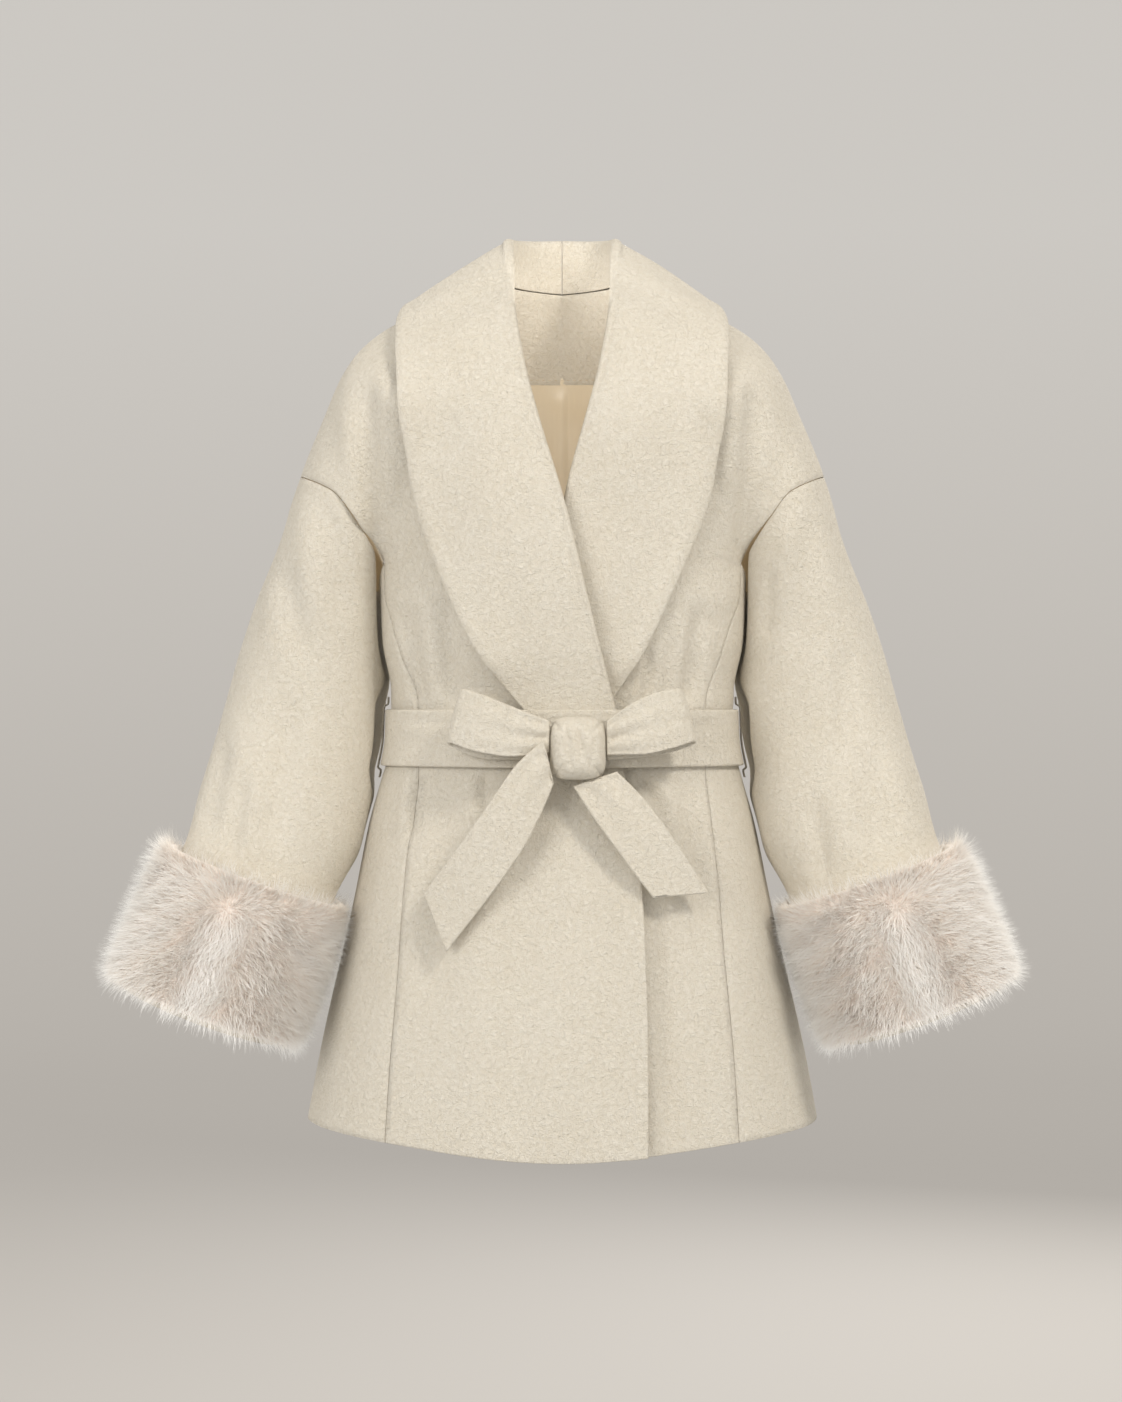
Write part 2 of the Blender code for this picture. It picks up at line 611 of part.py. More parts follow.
def sleeve_normals(turn):
    """Outward normals of the sleeve's tube along the armhole seam."""
    step = 0.002
    way = read(ARMHOLE, 1, np.cos(turn))
    round_it = sleeve_point(way, turn + step) - sleeve_point(way, turn - step)
    down = sleeve_point(way + step, turn) - sleeve_point(way - step, turn)
    found = unit(np.cross(round_it, down))
    lean = np.radians(read(SLEEVE, 6, way))
    facing = points(np.cos(turn) * np.cos(lean), -np.sin(turn), np.cos(turn) * np.sin(lean))
    same = (found * facing).sum(-1, keepdims=True)
    return np.where(same < 0.0, -found, found)


SIDE_COLUMNS = 6
UNDERARM_DIP = 0.018     # how far the side panel is scooped under the arm
DIP_SHARE = 0.07         # share of the panel's height where the scoop ends


def side_panel(name, mirror):
    """Underarm panel between the front and back princess seams, from the armhole to the hem."""
    rows = []
    for share in LOWER_ROWS:
        z = UNDERARM + (HEM - UNDERARM) * share
        first = float(princess_angle(z, False, -SEAM))
        last = float(princess_angle(z, True, -SEAM))
        theta = np.linspace(first, last, SIDE_COLUMNS)
        height = UNDERARM + (hem_height(theta) - UNDERARM) * share
        scoop = np.sin(np.linspace(0.0, math.pi, SIDE_COLUMNS)) * max(0.0, 1.0 - share / DIP_SHARE)
        dip = UNDERARM_DIP * scoop
        rows.append(around_body(theta, height - dip))
    outer = np.array(rows)
    inner = outer - body_normals(outer) * WOOL
    return solid(name, outer, inner, IVORY_WOOL, mirror=mirror)


SLEEVE_TURNS = 20
SLEEVE_ROWS = [0.0, 0.10, 0.20, 0.32, 0.44, 0.54, 0.62, 0.69, 0.76, 0.86, 1.0]


SLEEVE_END = CUFF_END - 0.004


def sleeve_turns():
    """Angles round the sleeve, from its outermost line forwards."""
    turn = np.linspace(0.0, 2.0 * math.pi, SLEEVE_TURNS, endpoint=False)
    return np.where(turn > math.pi, turn - 2.0 * math.pi, turn)


def sleeve_grid():
    """Grid of the sleeve's tube."""
    turn = sleeve_turns()
    start = read(ARMHOLE, 1, np.cos(turn)) + 2.0 * SEAM
    rows = []
    for share in SLEEVE_ROWS:
        way = start + (SLEEVE_END - start) * share
        rows.append(clear_of_body(sleeve_point(way, turn), SLEEVE_CLEAR))
    return np.array(rows)


def sleeve(name, mirror):
    """One-piece tube from the armhole seam to inside the cuff."""
    outer = sleeve_grid()
    outward = normals_of(outer, around=True)
    centre = outer.mean(axis=1, keepdims=True)
    if ((outer - centre) * outward).sum() < 0.0:
        outward = -outward
    turn = sleeve_turns()
    keep = along_armhole(turn)
    outward[0] = unit(sleeve_normals(turn) * keep + outward[0] * (1.0 - keep))
    return solid(name, outer, outer - outward * WOOL, IVORY_WOOL, around=True, mirror=mirror)


CUFF_PROFILE = [  # along the cuff 0 to 1, reach as a share of the fur's
    (0.000, 0.30),
    (0.030, 0.70),
    (0.140, 0.93),
    (0.320, 1.00),
    (0.680, 1.00),
    (0.860, 0.93),
    (0.970, 0.70),
    (1.000, 0.30),
]


def fur_cuff(name, mirror):
    """Thick open ring of the fur's reach round the sleeve's end."""
    turn = sleeve_turns()
    outer = []
    inner = []
    for share, reach in CUFF_PROFILE:
        way = CUFF_TOP + (CUFF_END - CUFF_TOP) * share
        outer.append(clear_of_body(sleeve_point(way, turn, FUR_REACH * reach), SLEEVE_CLEAR))
        near = sleeve_point(way, turn, CUFF_LINING)
        inner.append(clear_of_body(near, SLEEVE_CLEAR + CUFF_LINING))
    return solid(name, np.array(outer), np.array(inner), PALE_FUR, around=True, mirror=mirror)


def stood_off(x, z, back, off, lift):
    """The y of a place that stands off the form by off, on top of the front's own lift."""
    if back:
        return form_y(x, z, True) + off
    return form_y(x, z, False) - off - lift(x, z)


def collar_section(table, way, lift, front_edge):
    """Middle of the collar's wall at one station: stand, roll, then the fall to its edge."""
    cells = [float(read(table, column, way)) for column in range(1, 12)]
    seam_x, seam_z, roll_x, roll_y, roll_z, edge_x, edge_z, facing, roll_off, edge_off, radius = cells
    back = way < COLLAR_SHOULDER
    chest = float(ramp(way, 0.44, COLLAR_ON_CHEST))
    seam_x = seam_x * (1.0 - chest) + (float(read(front_edge, 1, seam_z)) - FRONT_SEAM) * chest
    seam_form = float(form_y(seam_x, min(seam_z, TOP_OF_BACK), back))
    lifted = float(lift(seam_x, seam_z)) if not back else 0.0
    inset = COLLAR_WALL * 0.5
    turned = math.radians(facing)
    out = np.array([math.sin(turned), -math.cos(turned), 0.0])
    seam = np.array([seam_x, seam_form - (0.0 if back else lifted), seam_z]) - out * inset
    resting = float(stood_off(roll_x, roll_z, back, roll_off, lift)) if not back else roll_y
    roll = np.array([roll_x, roll_y * (1.0 - chest) + resting * chest, roll_z])
    edge = np.array([edge_x, float(stood_off(edge_x, edge_z, back, edge_off, lift)), edge_z])
    up = unit(roll - seam)
    turn_in = roll - out * radius - up * radius
    turn_out = roll + out * radius - up * radius
    section = [seam, seam * 0.5 + turn_in * 0.5, turn_in, roll, turn_out]
    for share in COLLAR_FALL:
        place = turn_out + (edge - turn_out) * share
        place = place + out * COLLAR_CROWN * 4.0 * share * (1.0 - share) * (1.0 - chest)
        off = roll_off + radius + (edge_off - roll_off - radius) * float(ramp(share, 0.0, 1.0))
        off = max(off, edge_off)
        limit = float(stood_off(place[0], place[2], back, off, lift))
        place[1] = max(place[1], limit) if back else min(place[1], limit)
        section.append(place)
    return np.array(section)


def wall_about(middle, wall):
    """The two faces of a wall about its middle."""
    outward = normals_of(middle)
    return middle + outward * wall * 0.5, middle - outward * wall * 0.5


def collar(name, table, lift, front_edge, mirror):
    """Half of the shawl collar, from the centre back seam to under the belt."""
    middle = np.array([collar_section(table, way, lift, front_edge) for way in COLLAR_WAYS])
    middle[0, :, 0] = SEAM
    outward = normals_of(middle)
    outward[0, :, 0] = 0.0
    outward[0] = unit(outward[0])
    half = outward * COLLAR_WALL * 0.5
    return solid(name, middle + half, middle - half, IVORY_WOOL, mirror=mirror)


FACING_WALL = 0.0015
INSIDE_TOP_SHARE = 0.5    # the layers inside the back widen over this share of their height
PLEAT_AT = 0.002
PLEAT_WIDE = 0.006
FACING = {"top": 0.0100, "bottom": -0.0560, "top_half": 0.032, "bottom_half": 0.078,
          "rows": 5, "columns": 11, "near": WOOL + 0.0026, "pleat": 0.0}
LINING = {"top": -0.0578, "bottom": -0.4000, "top_half": 0.110, "bottom_half": 0.120,
          "rows": 8, "columns": 13, "near": WOOL + 0.0028, "pleat": 0.0030}


def inside_back(name, cut, wall, color):
    """Layer inside the back, symmetric about the middle."""
    share = np.linspace(0.0, 1.0, cut["rows"])[:, None]
    z = cut["top"] + (cut["bottom"] - cut["top"]) * share + np.zeros((1, cut["columns"]))
    widened = np.minimum(share / INSIDE_TOP_SHARE, 1.0)
    half = cut["top_half"] + (cut["bottom_half"] - cut["top_half"]) * widened
    x = half * np.linspace(-1.0, 1.0, cut["columns"])[None, :]
    outer = points(x, form_y(x, z, True), z)
    outward = normals_of(outer)
    outward = np.where(outward[..., 1:2] < 0.0, -outward, outward)
    fold = cut["pleat"] * np.exp(-((x - PLEAT_AT) / PLEAT_WIDE) ** 2)
    face = outer - outward * (cut["near"] + fold[..., None])
    return solid(name, face, face - outward * wall, color)


BELT_COLUMNS = 40
BELT_BEHIND = 0.0020      # how far the belt's inside stands off the back
BELT_SWELL = 0.0006       # how much thicker the belt is along its middle


def belt_band():
    """Belt round the waist, over the wrapped fronts and the ends of the collar."""
    theta = np.linspace(-math.pi, math.pi, BELT_COLUMNS, endpoint=False)
    outer = []
    inner = []
    for share in (0.0, 0.5, 1.0):
        z = BELT_TOP + (BELT_BOTTOM - BELT_TOP) * share
        x = around_body(theta, z)[..., 0]
        stand = np.where(np.cos(theta) > 0.0, read(BELT_STAND, 1, x), BELT_BEHIND)
        swell = BELT_SWELL * math.sin(math.pi * share)
        inner.append(around_body(theta, z, stand))
        outer.append(around_body(theta, z, stand + BELT_WALL + swell))
    return solid("belt_band", np.array(outer), np.array(inner), IVORY_WOOL, around=True)


def belt_loop(name, mirror):
    """Belt carrier at the side of the waist."""
    middle = []
    for z, stand in CARRIER_PATH:
        reach = float(read(BODY, 1, z)) + stand
        middle.append([[reach, y, z] for y in (-CARRIER_HALF, 0.0, CARRIER_HALF)])
    outer, inner = wall_about(np.array(middle), CARRIER_WALL)
    return solid(name, outer, inner, IVORY_WOOL, mirror=mirror)


def strip(name, start, end):
    """Length of the belt between its two edge lines."""
    share = np.linspace(0.0, 1.0, STRIP_COLUMNS)[None, :, None]
    middle = start[:, None] * (1.0 - share) + end[:, None] * share
    outer, inner = wall_about(middle, BELT_WALL)
    return solid(name, outer, inner, IVORY_WOOL)


def bow_loop(name, table):
    """Loop of the bow, out from the knot and back behind itself."""
    rows = np.array(table)
    return strip(name, rows[:, [0, 4, 1]], rows[:, [2, 4, 3]])


def bow_tail(name, table):
    """Hanging end of the belt, cut on the slant."""
    rows = np.array(table)
    return strip(name, rows[:, [0, 2, 1]], rows[:, [3, 5, 4]])


def bow_knot():
    """Knot of the bow, a full turn of the belt drawn tight."""
    side = np.linspace(-1.0, 1.0, 7)
    u, v = np.meshgrid(side, side)
    larger = np.maximum(np.maximum(np.abs(u), np.abs(v)), 1e-6)
    round_off = np.maximum((np.abs(u) ** 4 + np.abs(v) ** 4) ** 0.25, 1e-6) / larger
    x = KNOT_CENTRE[0] + KNOT_HALF[0] * u / round_off
    z = KNOT_CENTRE[1] - KNOT_HALF[1] * v / round_off
    full = np.sqrt((1.0 - u ** 4) * (1.0 - v ** 4))
    outer = points(x, KNOT_EDGE + (KNOT_FRONT - KNOT_EDGE) * full, z)
    inner = points(x, KNOT_BACK, z)
    return solid("bow_knot", outer, inner, IVORY_WOOL)


def build_body():
    """Fronts, backs and side panels."""
    body_panel("front_right", False, over_edge, over_lift, True)
    body_panel("front_left", False, under_edge, no_lift, False)
    for side, mirror in (("right", True), ("left", False)):
        body_panel("back_" + side, True, centre_back, no_lift, mirror)
        side_panel("side_panel_" + side, mirror)


def build_sleeves():
    """Sleeves and their fur cuffs."""
    for side, mirror in (("right", True), ("left", False)):
        sleeve("sleeve_" + side, mirror)
        fur_cuff("fur_cuff_" + side, mirror)


def build_collar():
    """Both halves of the collar and what shows inside the neck."""
    collar("collar_right", COLLAR_OVER, over_lift, OVER_EDGE, True)
    collar("collar_left", COLLAR_UNDER, no_lift, UNDER_EDGE, False)
    inside_back("back_neck_facing", FACING, FACING_WALL, IVORY_WOOL)
    inside_back("lining_back", LINING, SATIN, CREAM_SATIN)


def build_belt():
    """Belt, carriers and bow."""
    belt_band()
    belt_loop("belt_loop_right", True)
    belt_loop("belt_loop_left", False)
    bow_loop("bow_loop_right", BOW_RIGHT)
    bow_loop("bow_loop_left", BOW_LEFT)
    bow_tail("tail_right", TAIL_RIGHT)
    bow_tail("tail_left", TAIL_LEFT)
    bow_knot()


def main():
    """Builds the coat in an empty scene."""
    for old in list(bpy.data.objects):
        bpy.data.objects.remove(old, do_unlink=True)
    build_body()
    build_sleeves()
    build_collar()
    build_belt()


main()
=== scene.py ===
# %% [markdown]
# # A wrap coat in felted wool, built as it is sewn
#
# The coat is filled out as if somebody wore it: two fronts that wrap, underarm side panels, a back
# in two halves, dropped sleeves, a wide shawl collar, a tied belt, and two fur cuffs. Every panel
# already exists as a plain solid in the frame. Here each one gets its real surface: a thin shell of
# the same form with rolled edges, soft folds and the right cloth.

# %% Load the frame
import json
import math

import bmesh
import bpy
import mathutils
import numpy as np
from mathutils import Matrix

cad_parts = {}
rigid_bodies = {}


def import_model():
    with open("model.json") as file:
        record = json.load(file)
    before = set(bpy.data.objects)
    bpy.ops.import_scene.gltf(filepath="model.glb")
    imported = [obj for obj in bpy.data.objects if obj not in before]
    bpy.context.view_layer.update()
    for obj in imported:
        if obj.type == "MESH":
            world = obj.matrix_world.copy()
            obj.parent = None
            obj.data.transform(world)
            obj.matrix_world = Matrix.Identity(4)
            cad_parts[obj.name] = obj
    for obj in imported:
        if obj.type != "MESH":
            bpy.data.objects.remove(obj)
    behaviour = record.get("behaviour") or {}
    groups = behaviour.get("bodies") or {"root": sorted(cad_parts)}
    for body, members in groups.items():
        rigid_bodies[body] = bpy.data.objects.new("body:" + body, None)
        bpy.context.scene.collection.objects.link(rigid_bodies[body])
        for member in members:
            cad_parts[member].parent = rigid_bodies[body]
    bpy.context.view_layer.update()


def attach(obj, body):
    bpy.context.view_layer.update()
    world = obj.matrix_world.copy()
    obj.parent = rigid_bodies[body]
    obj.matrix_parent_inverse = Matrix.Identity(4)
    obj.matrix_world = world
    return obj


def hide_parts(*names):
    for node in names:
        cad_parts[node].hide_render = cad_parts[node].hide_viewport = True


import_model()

# %% [markdown]
# ## Reading a table as a smooth curve
#
# A pattern cutter keeps a few measured widths and joins them by eye. The same idea works in code:
# a short table of sizes, and a function that joins them with a curve that never overshoots. A
# spline in Blender could do it too, but a function of height is easier to ask from anywhere.

# %% Curves through tables
def read(rows, column, at):
    """Smooth value of a table's column where its first column has the given values."""
    cells = np.array(sorted(rows), dtype=float)
    knots = cells[:, 0]
    values = cells[:, column]
    steps = np.diff(knots)
    slopes = np.diff(values) / steps
    tangents = np.zeros(len(knots))
    product = slopes[:-1] * slopes[1:]
    total = slopes[:-1] + slopes[1:]
    rising = product > 0
    tangents[1:-1][rising] = 2.0 * product[rising] / total[rising]
    tangents[0] = slopes[0]
    tangents[-1] = slopes[-1]
    where = np.clip(np.asarray(at, dtype=float), knots[0], knots[-1])
    i = np.clip(np.searchsorted(knots, where) - 1, 0, len(steps) - 1)
    t = (where - knots[i]) / steps[i]
    rest = 1.0 - t
    return (values[i] * rest * rest * (1.0 + 2.0 * t)
            + tangents[i] * steps[i] * t * rest * rest
            + values[i + 1] * t * t * (3.0 - 2.0 * t)
            - tangents[i + 1] * steps[i] * t * t * rest)


def ramp(value, start, end):
    """Soft step from 0 at start to 1 at end."""
    t = np.clip((np.asarray(value, dtype=float) - start) / (end - start), 0.0, 1.0)
    return t * t * (3.0 - 2.0 * t)


def unit(vectors):
    """The vectors at length one."""
    return vectors / np.maximum(np.linalg.norm(vectors, axis=-1, keepdims=True), 1e-12)


def points(x, y, z):
    """Coordinates put together as points."""
    return np.stack(np.broadcast_arrays(x, y, z), axis=-1)


# %% [markdown]
# ## The form that the cloth lies on
#
# Below the underarm the coat is a rounded section at each height: narrow at the belt, wide at the
# hem. Above it, the outline of shoulder and upper arm is drawn from the front, and the depth of the
# chest and of the sleeve's own roundness grow inwards from that line. These are the sizes of the
# frame's solids, so the finished cloth lies where they do.

# %% Sizes of the form
SECTION_POWER = 2.3      # roundness of the sections, 2 is an ellipse
BLEND = 3.2              # how softly chest and sleeve run into each other
UNDERARM = -0.241
HEM = -0.790
HEM_RISE = 0.022
BELT_TOP = -0.379
BELT_BOTTOM = -0.432

BODY = [  # z, half_width, front, back
    (-0.800, 0.250, 0.158, 0.160),
    (-0.693, 0.230, 0.150, 0.152),
    (-0.560, 0.199, 0.138, 0.140),
    (-0.487, 0.184, 0.127, 0.129),
    (-0.430, 0.169, 0.114, 0.116),
    (-0.405, 0.165, 0.111, 0.113),
    (-0.363, 0.164, 0.110, 0.112),
    (-0.315, 0.173, 0.115, 0.118),
    (-0.241, 0.178, 0.119, 0.123),
    (-0.200, 0.190, 0.119, 0.124),
    (-0.150, 0.207, 0.118, 0.125),
    (-0.050, 0.226, 0.112, 0.124),
    (0.060, 0.250, 0.108, 0.122),
]
OUTLINE = [  # way, x, z, reach of the rounding, share of the sleeve's roundness
    (0.00, 0.000, 0.072, 0.170, 0.0),
    (0.08, 0.020, 0.066, 0.170, 0.0),
    (0.16, 0.040, 0.048, 0.165, 0.0),
    (0.24, 0.058, 0.028, 0.160, 0.0),
    (0.40, 0.100, 0.014, 0.140, 0.0),
    (0.55, 0.155, -0.005, 0.110, 0.2),
    (0.64, 0.181, -0.020, 0.095, 0.5),
    (0.72, 0.199, -0.037, 0.085, 0.8),
    (0.80, 0.216, -0.064, 0.075, 1.0),
    (0.87, 0.229, -0.095, 0.065, 1.0),
    (1.00, 0.253, -0.156, 0.056, 1.0),
    (1.30, 0.288, -0.271, 0.056, 1.0),
]
NECK_WAY = 0.24
ARM_HALF_WIDTH = 0.055
ARM_HALF_DEPTH = 0.088
ARM_BACK = 0.015         # the arm lies this much behind the middle
BACKWARDS = (0.12, 0.20)  # widths between which the middle moves back


# %% The form as functions
def around_body(theta, z):
    """Point of the body below the underarm; theta is 0 in front, 90 degrees at the side."""
    sine = np.sin(theta)
    cosine = np.cos(theta)
    wide = read(BODY, 1, z)
    deep = np.where(cosine > 0.0, read(BODY, 2, z), read(BODY, 3, z))
    term = np.abs(sine / wide) ** SECTION_POWER + np.abs(cosine / deep) ** SECTION_POWER
    reach = term ** (-1.0 / SECTION_POWER)
    return points(reach * sine, -reach * cosine, z)


def rest_of_section(share):
    """How far a rounded section still reaches, at a share of its width or depth."""
    return (1.0 - share ** SECTION_POWER) ** (1.0 / SECTION_POWER)


def angle_at(x, z, back):
    """Angle round the body where it is this far from the middle."""
    share = np.clip(np.abs(x) / read(BODY, 1, z), 0.0, 1.0)
    deep = read(BODY, 3 if back else 2, z) * rest_of_section(share)
    theta = np.arctan2(x, deep)
    return math.pi - theta if back else theta


LINE_WAY = np.linspace(OUTLINE[0][0], OUTLINE[-1][0], 140)
LINE = np.stack([read(OUTLINE, 1, LINE_WAY), read(OUTLINE, 2, LINE_WAY)], axis=-1)


def to_outline(x, z):
    """Distance inside the shoulder's outline, and the way along it of the nearest point."""
    place = np.stack([np.abs(x), z], axis=-1)[..., None, :]
    start = LINE[:-1]
    step = LINE[1:] - start
    share = np.clip(((place - start) * step).sum(-1) / (step * step).sum(-1), 0.0, 1.0)
    offset = place - (start + share[..., None] * step)
    gap = np.linalg.norm(offset, axis=-1)
    nearest = np.argmin(gap, axis=-1)[..., None]
    side = step[:, 0] * offset[..., 1] - step[:, 1] * offset[..., 0]
    distance = np.take_along_axis(gap, nearest, -1)[..., 0]
    above = np.take_along_axis(side, nearest, -1)[..., 0] > 0.0
    way = np.take_along_axis(LINE_WAY[:-1] + share * np.diff(LINE_WAY), nearest, -1)[..., 0]
    return np.where(above, 0.0, distance), way


def form_y(x, z, back):
    """The form's y at a place seen from the front."""
    x, z = np.broadcast_arrays(np.asarray(x, dtype=float), np.asarray(z, dtype=float))
    share = np.clip(np.abs(x) / read(BODY, 1, z), 0.0, 1.0)
    body = read(BODY, 3 if back else 2, z) * rest_of_section(share)
    distance, way = to_outline(x, z)
    inside = np.clip(distance / read(OUTLINE, 3, way), 0.0, 1.0)
    body = body * np.sqrt(1.0 - (1.0 - inside) ** 2)
    across = (distance - ARM_HALF_WIDTH) / ARM_HALF_WIDTH
    arm = ARM_HALF_DEPTH * np.sqrt(np.clip(1.0 - across ** 2, 0.0, 1.0)) * read(OUTLINE, 4, way)
    arm = arm * ramp(z, UNDERARM - 0.03, UNDERARM)
    middle = ARM_BACK * ramp(np.abs(x), *BACKWARDS) * ramp(z, UNDERARM - 0.02, UNDERARM + 0.04)
    return middle + (1.0 if back else -1.0) * (body ** BLEND + arm ** BLEND) ** (1.0 / BLEND)


print("chest depth in mm:", round(1000 * float(form_y(0, -0.2, True) - form_y(0, -0.2, False))))

# %% [markdown]
# ## Cloth as a thin shell
#
# A sewn panel is a sheet of even thickness whose cut edges are turned under, so an edge is a small
# roll and two panels meet in a soft groove. Solidify would give a square edge. Instead this helper
# takes a grid of points and its normals, adds the inner face, and joins the two by a half round
# rim that ends exactly at the seam line. Closed shells also keep their normals unambiguous.

# %% Shell helper
RIM_STEPS = (0.2, 0.5, 0.8)


def normals_of(grid, around=False):
    """Unit normals of a grid of points."""
    if around:
        wrapped = np.concatenate([grid[:, -1:], grid, grid[:, :1]], axis=1)
        across = np.gradient(wrapped, axis=1)[:, 1:-1]
    else:
        across = np.gradient(grid, axis=1)
    return unit(np.cross(across, np.gradient(grid, axis=0)))


def facing_out(outward, rough):
    """The normals, turned to the side that the rough direction points to."""
    return outward if (outward * rough).sum() > 0.0 else -outward


def rim_loops(rows, columns, around):
    """Loops of grid places along the free edges, each with the places next to it inside."""
    if around:
        first = [((0, j), [(1, j)]) for j in range(columns)]
        last = [((rows - 1, j), [(rows - 2, j)]) for j in range(columns)]
        return [first, last[::-1]]
    loop = ([(0, j) for j in range(columns)] + [(i, columns - 1) for i in range(1, rows)]
            + [(rows - 1, j) for j in range(columns - 2, -1, -1)]
            + [(i, 0) for i in range(rows - 2, 0, -1)])
    near_row = {0: 1, rows - 1: rows - 2}
    near_column = {0: 1, columns - 1: columns - 2}
    with_inside = []
    for i, j in loop:
        inside = [(near_row[i], j)] if i in near_row else []
        inside += [(i, near_column[j])] if j in near_column else []
        with_inside.append(((i, j), inside))
    return [with_inside]


def linked(name, data):
    """A new object in the scene."""
    made = bpy.data.objects.new(name, data)
    bpy.context.scene.collection.objects.link(made)
    return made


def cloth(name, outer, outward, wall, finishes, around=False, roll=0.5):
    """A closed shell between a grid and the grid moved in by the wall; roll rounds its edges."""
    outer = outer.copy()
    rows, columns = outer.shape[:2]
    wall = np.broadcast_to(wall, (rows, columns))
    roll = np.broadcast_to(roll, (rows, columns))
    loops = rim_loops(rows, columns, around)
    drawn = outer.copy()
    ways_out = {}
    for loop in loops:
        for place, inside in loop:
            way = sum(unit(drawn[place] - drawn[near]) for near in inside)
            ways_out[place] = unit(way)
            outer[place] = drawn[place] - ways_out[place] * wall[place] * roll[place]
    inner = outer - outward * wall[..., None]
    count = rows * columns
    corners = [outer.reshape(-1, 3), inner.reshape(-1, 3)]
    index = np.arange(count).reshape(rows, columns)
    faces = []
    shades = []
    last = columns if around else columns - 1
    for i in range(rows - 1):
        for j in range(last):
            k = (j + 1) % columns
            ring = (index[i, j], index[i, k], index[i + 1, k], index[i + 1, j])
            faces.append([int(c) for c in ring])
            faces.append([int(c) + count for c in reversed(ring)])
            shades += [0, 1]
    total = 2 * count
    for loop in loops:
        size = len(loop)
        levels = [[int(index[place]) for place, inside in loop]]
        for share in RIM_STEPS:
            turn = math.pi * share
            ring = [outer[p] + ways_out[p] * wall[p] * roll[p] * math.sin(turn)
                    - outward[p] * wall[p] * 0.5 * (1.0 - math.cos(turn)) for p, inside in loop]
            corners.append(np.array(ring))
            levels.append(list(range(total, total + size)))
            total += size
        levels.append([int(index[place]) + count for place, inside in loop])
        for low, high in zip(levels, levels[1:]):
            for m in range(size):
                n = (m + 1) % size
                faces.append([low[n], low[m], high[m], high[n]])
                shades.append(0)
    corners = np.concatenate(corners)
    mesh = bpy.data.meshes.new(name)
    mesh.from_pydata(corners.tolist(), [], faces)
    for finish in finishes:
        mesh.materials.append(finish)
    if len(finishes) > 1:
        mesh.polygons.foreach_set("material_index", shades)
    shell = bmesh.new()
    shell.from_mesh(mesh)
    bmesh.ops.recalc_face_normals(shell, faces=shell.faces)
    shell.to_mesh(mesh)
    shell.free()
    mesh.shade_smooth()
    return linked(name, mesh)


def triangles(piece):
    """How many triangles a piece has."""
    return sum(len(face.vertices) - 2 for face in piece.data.polygons)


def joins(piece, node):
    """Fixes a finished piece to the coat in place of its plain solid."""
    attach(piece, "root")
    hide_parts(node)
    print(piece.name, triangles(piece), "triangles")
    return piece


# %% [markdown]
# ## Folds
#
# Thick wool does not crumple. It shows a few long soft folds: from the armpit, beside the collar,
# under the belt and down the wrap. Each is a row in a table: a line seen from the front, how wide
# and how deep. A fold is a trough with a lower swell on one side, faded at both ends, and a slow
# unevenness of a millimetre or so keeps every panel from looking machined.

# %% Folds as troughs with a swell beside them
def folds(place, rows):
    """How far the cloth moves out along its normal because of the folds in a table."""
    x, z = place[..., 0], place[..., 2]
    moved = np.zeros(x.shape)
    for x1, z1, x2, z2, width, depth in rows:
        run = np.array([x2 - x1, z2 - z1])
        length = float(np.linalg.norm(run))
        run = run / length
        along = ((x - x1) * run[0] + (z - z1) * run[1]) / length
        beside = (x - x1) * run[1] - (z - z1) * run[0]
        fade = ramp(along, -0.15, 0.25) * (1.0 - ramp(along, 0.70, 1.15))
        trough = np.exp(-(beside / width) ** 2)
        swell = np.exp(-((beside - 1.7 * width) / (1.3 * width)) ** 2)
        moved = moved + fade * depth * (0.55 * swell - trough)
    return moved


def unevenness(place, size, seed):
    """Slow, shallow waves in the cloth."""
    chance = np.random.default_rng(seed)
    moved = np.zeros(place.shape[:-1])
    for wave in (0.19, 0.13, 0.085, 0.055):
        direction = unit(chance.normal(size=3))
        start = chance.uniform(0.0, 2.0 * math.pi)
        ripple = np.sin(2.0 * math.pi * (place @ direction) / wave + start)
        moved = moved + size * (wave / 0.19) * ripple
    return moved * 0.5


# %% [markdown]
# ## Cloth, satin and fur as materials
#
# The wool is **felted and brushed coating**: the fibres are milled into a dense mat, then raised,
# so the eye sees no weave, only a matt, slightly clouded surface with a soft halo at grazing
# angles. Sheen gives the halo, two scales of noise the milled mat and its fuzz. A weave texture
# would show threads that felting has closed.

# %% Colours and nodes
def shade(value):
    """An sRGB hex colour as the linear values Blender works in."""
    parts = [int(value[i:i + 2], 16) / 255.0 for i in (1, 3, 5)]
    linear = [p / 12.92 if p <= 0.04045 else ((p + 0.055) / 1.055) ** 2.4 for p in parts]
    return (*linear, 1.0)


def node(tree, kind, settings=(), values=(), links=()):
    """Adds a node, its settings and input values, and links into it from (input, output socket)."""
    made = tree.nodes.new(kind)
    for name, value in dict(settings).items():
        setattr(made, name, value)
    for name, value in dict(values).items():
        made.inputs[name].default_value = value
    for name, source in dict(links).items():
        tree.links.new(source, made.inputs[name])
    return made


def blank(name, values):
    """A new material's tree and its shader, with the shader's own constant values set."""
    made = bpy.data.materials.new(name)
    made.use_nodes = True
    shader = made.node_tree.nodes["Principled BSDF"]
    for label, value in values.items():
        shader.inputs[label].default_value = value
    return made, made.node_tree, shader


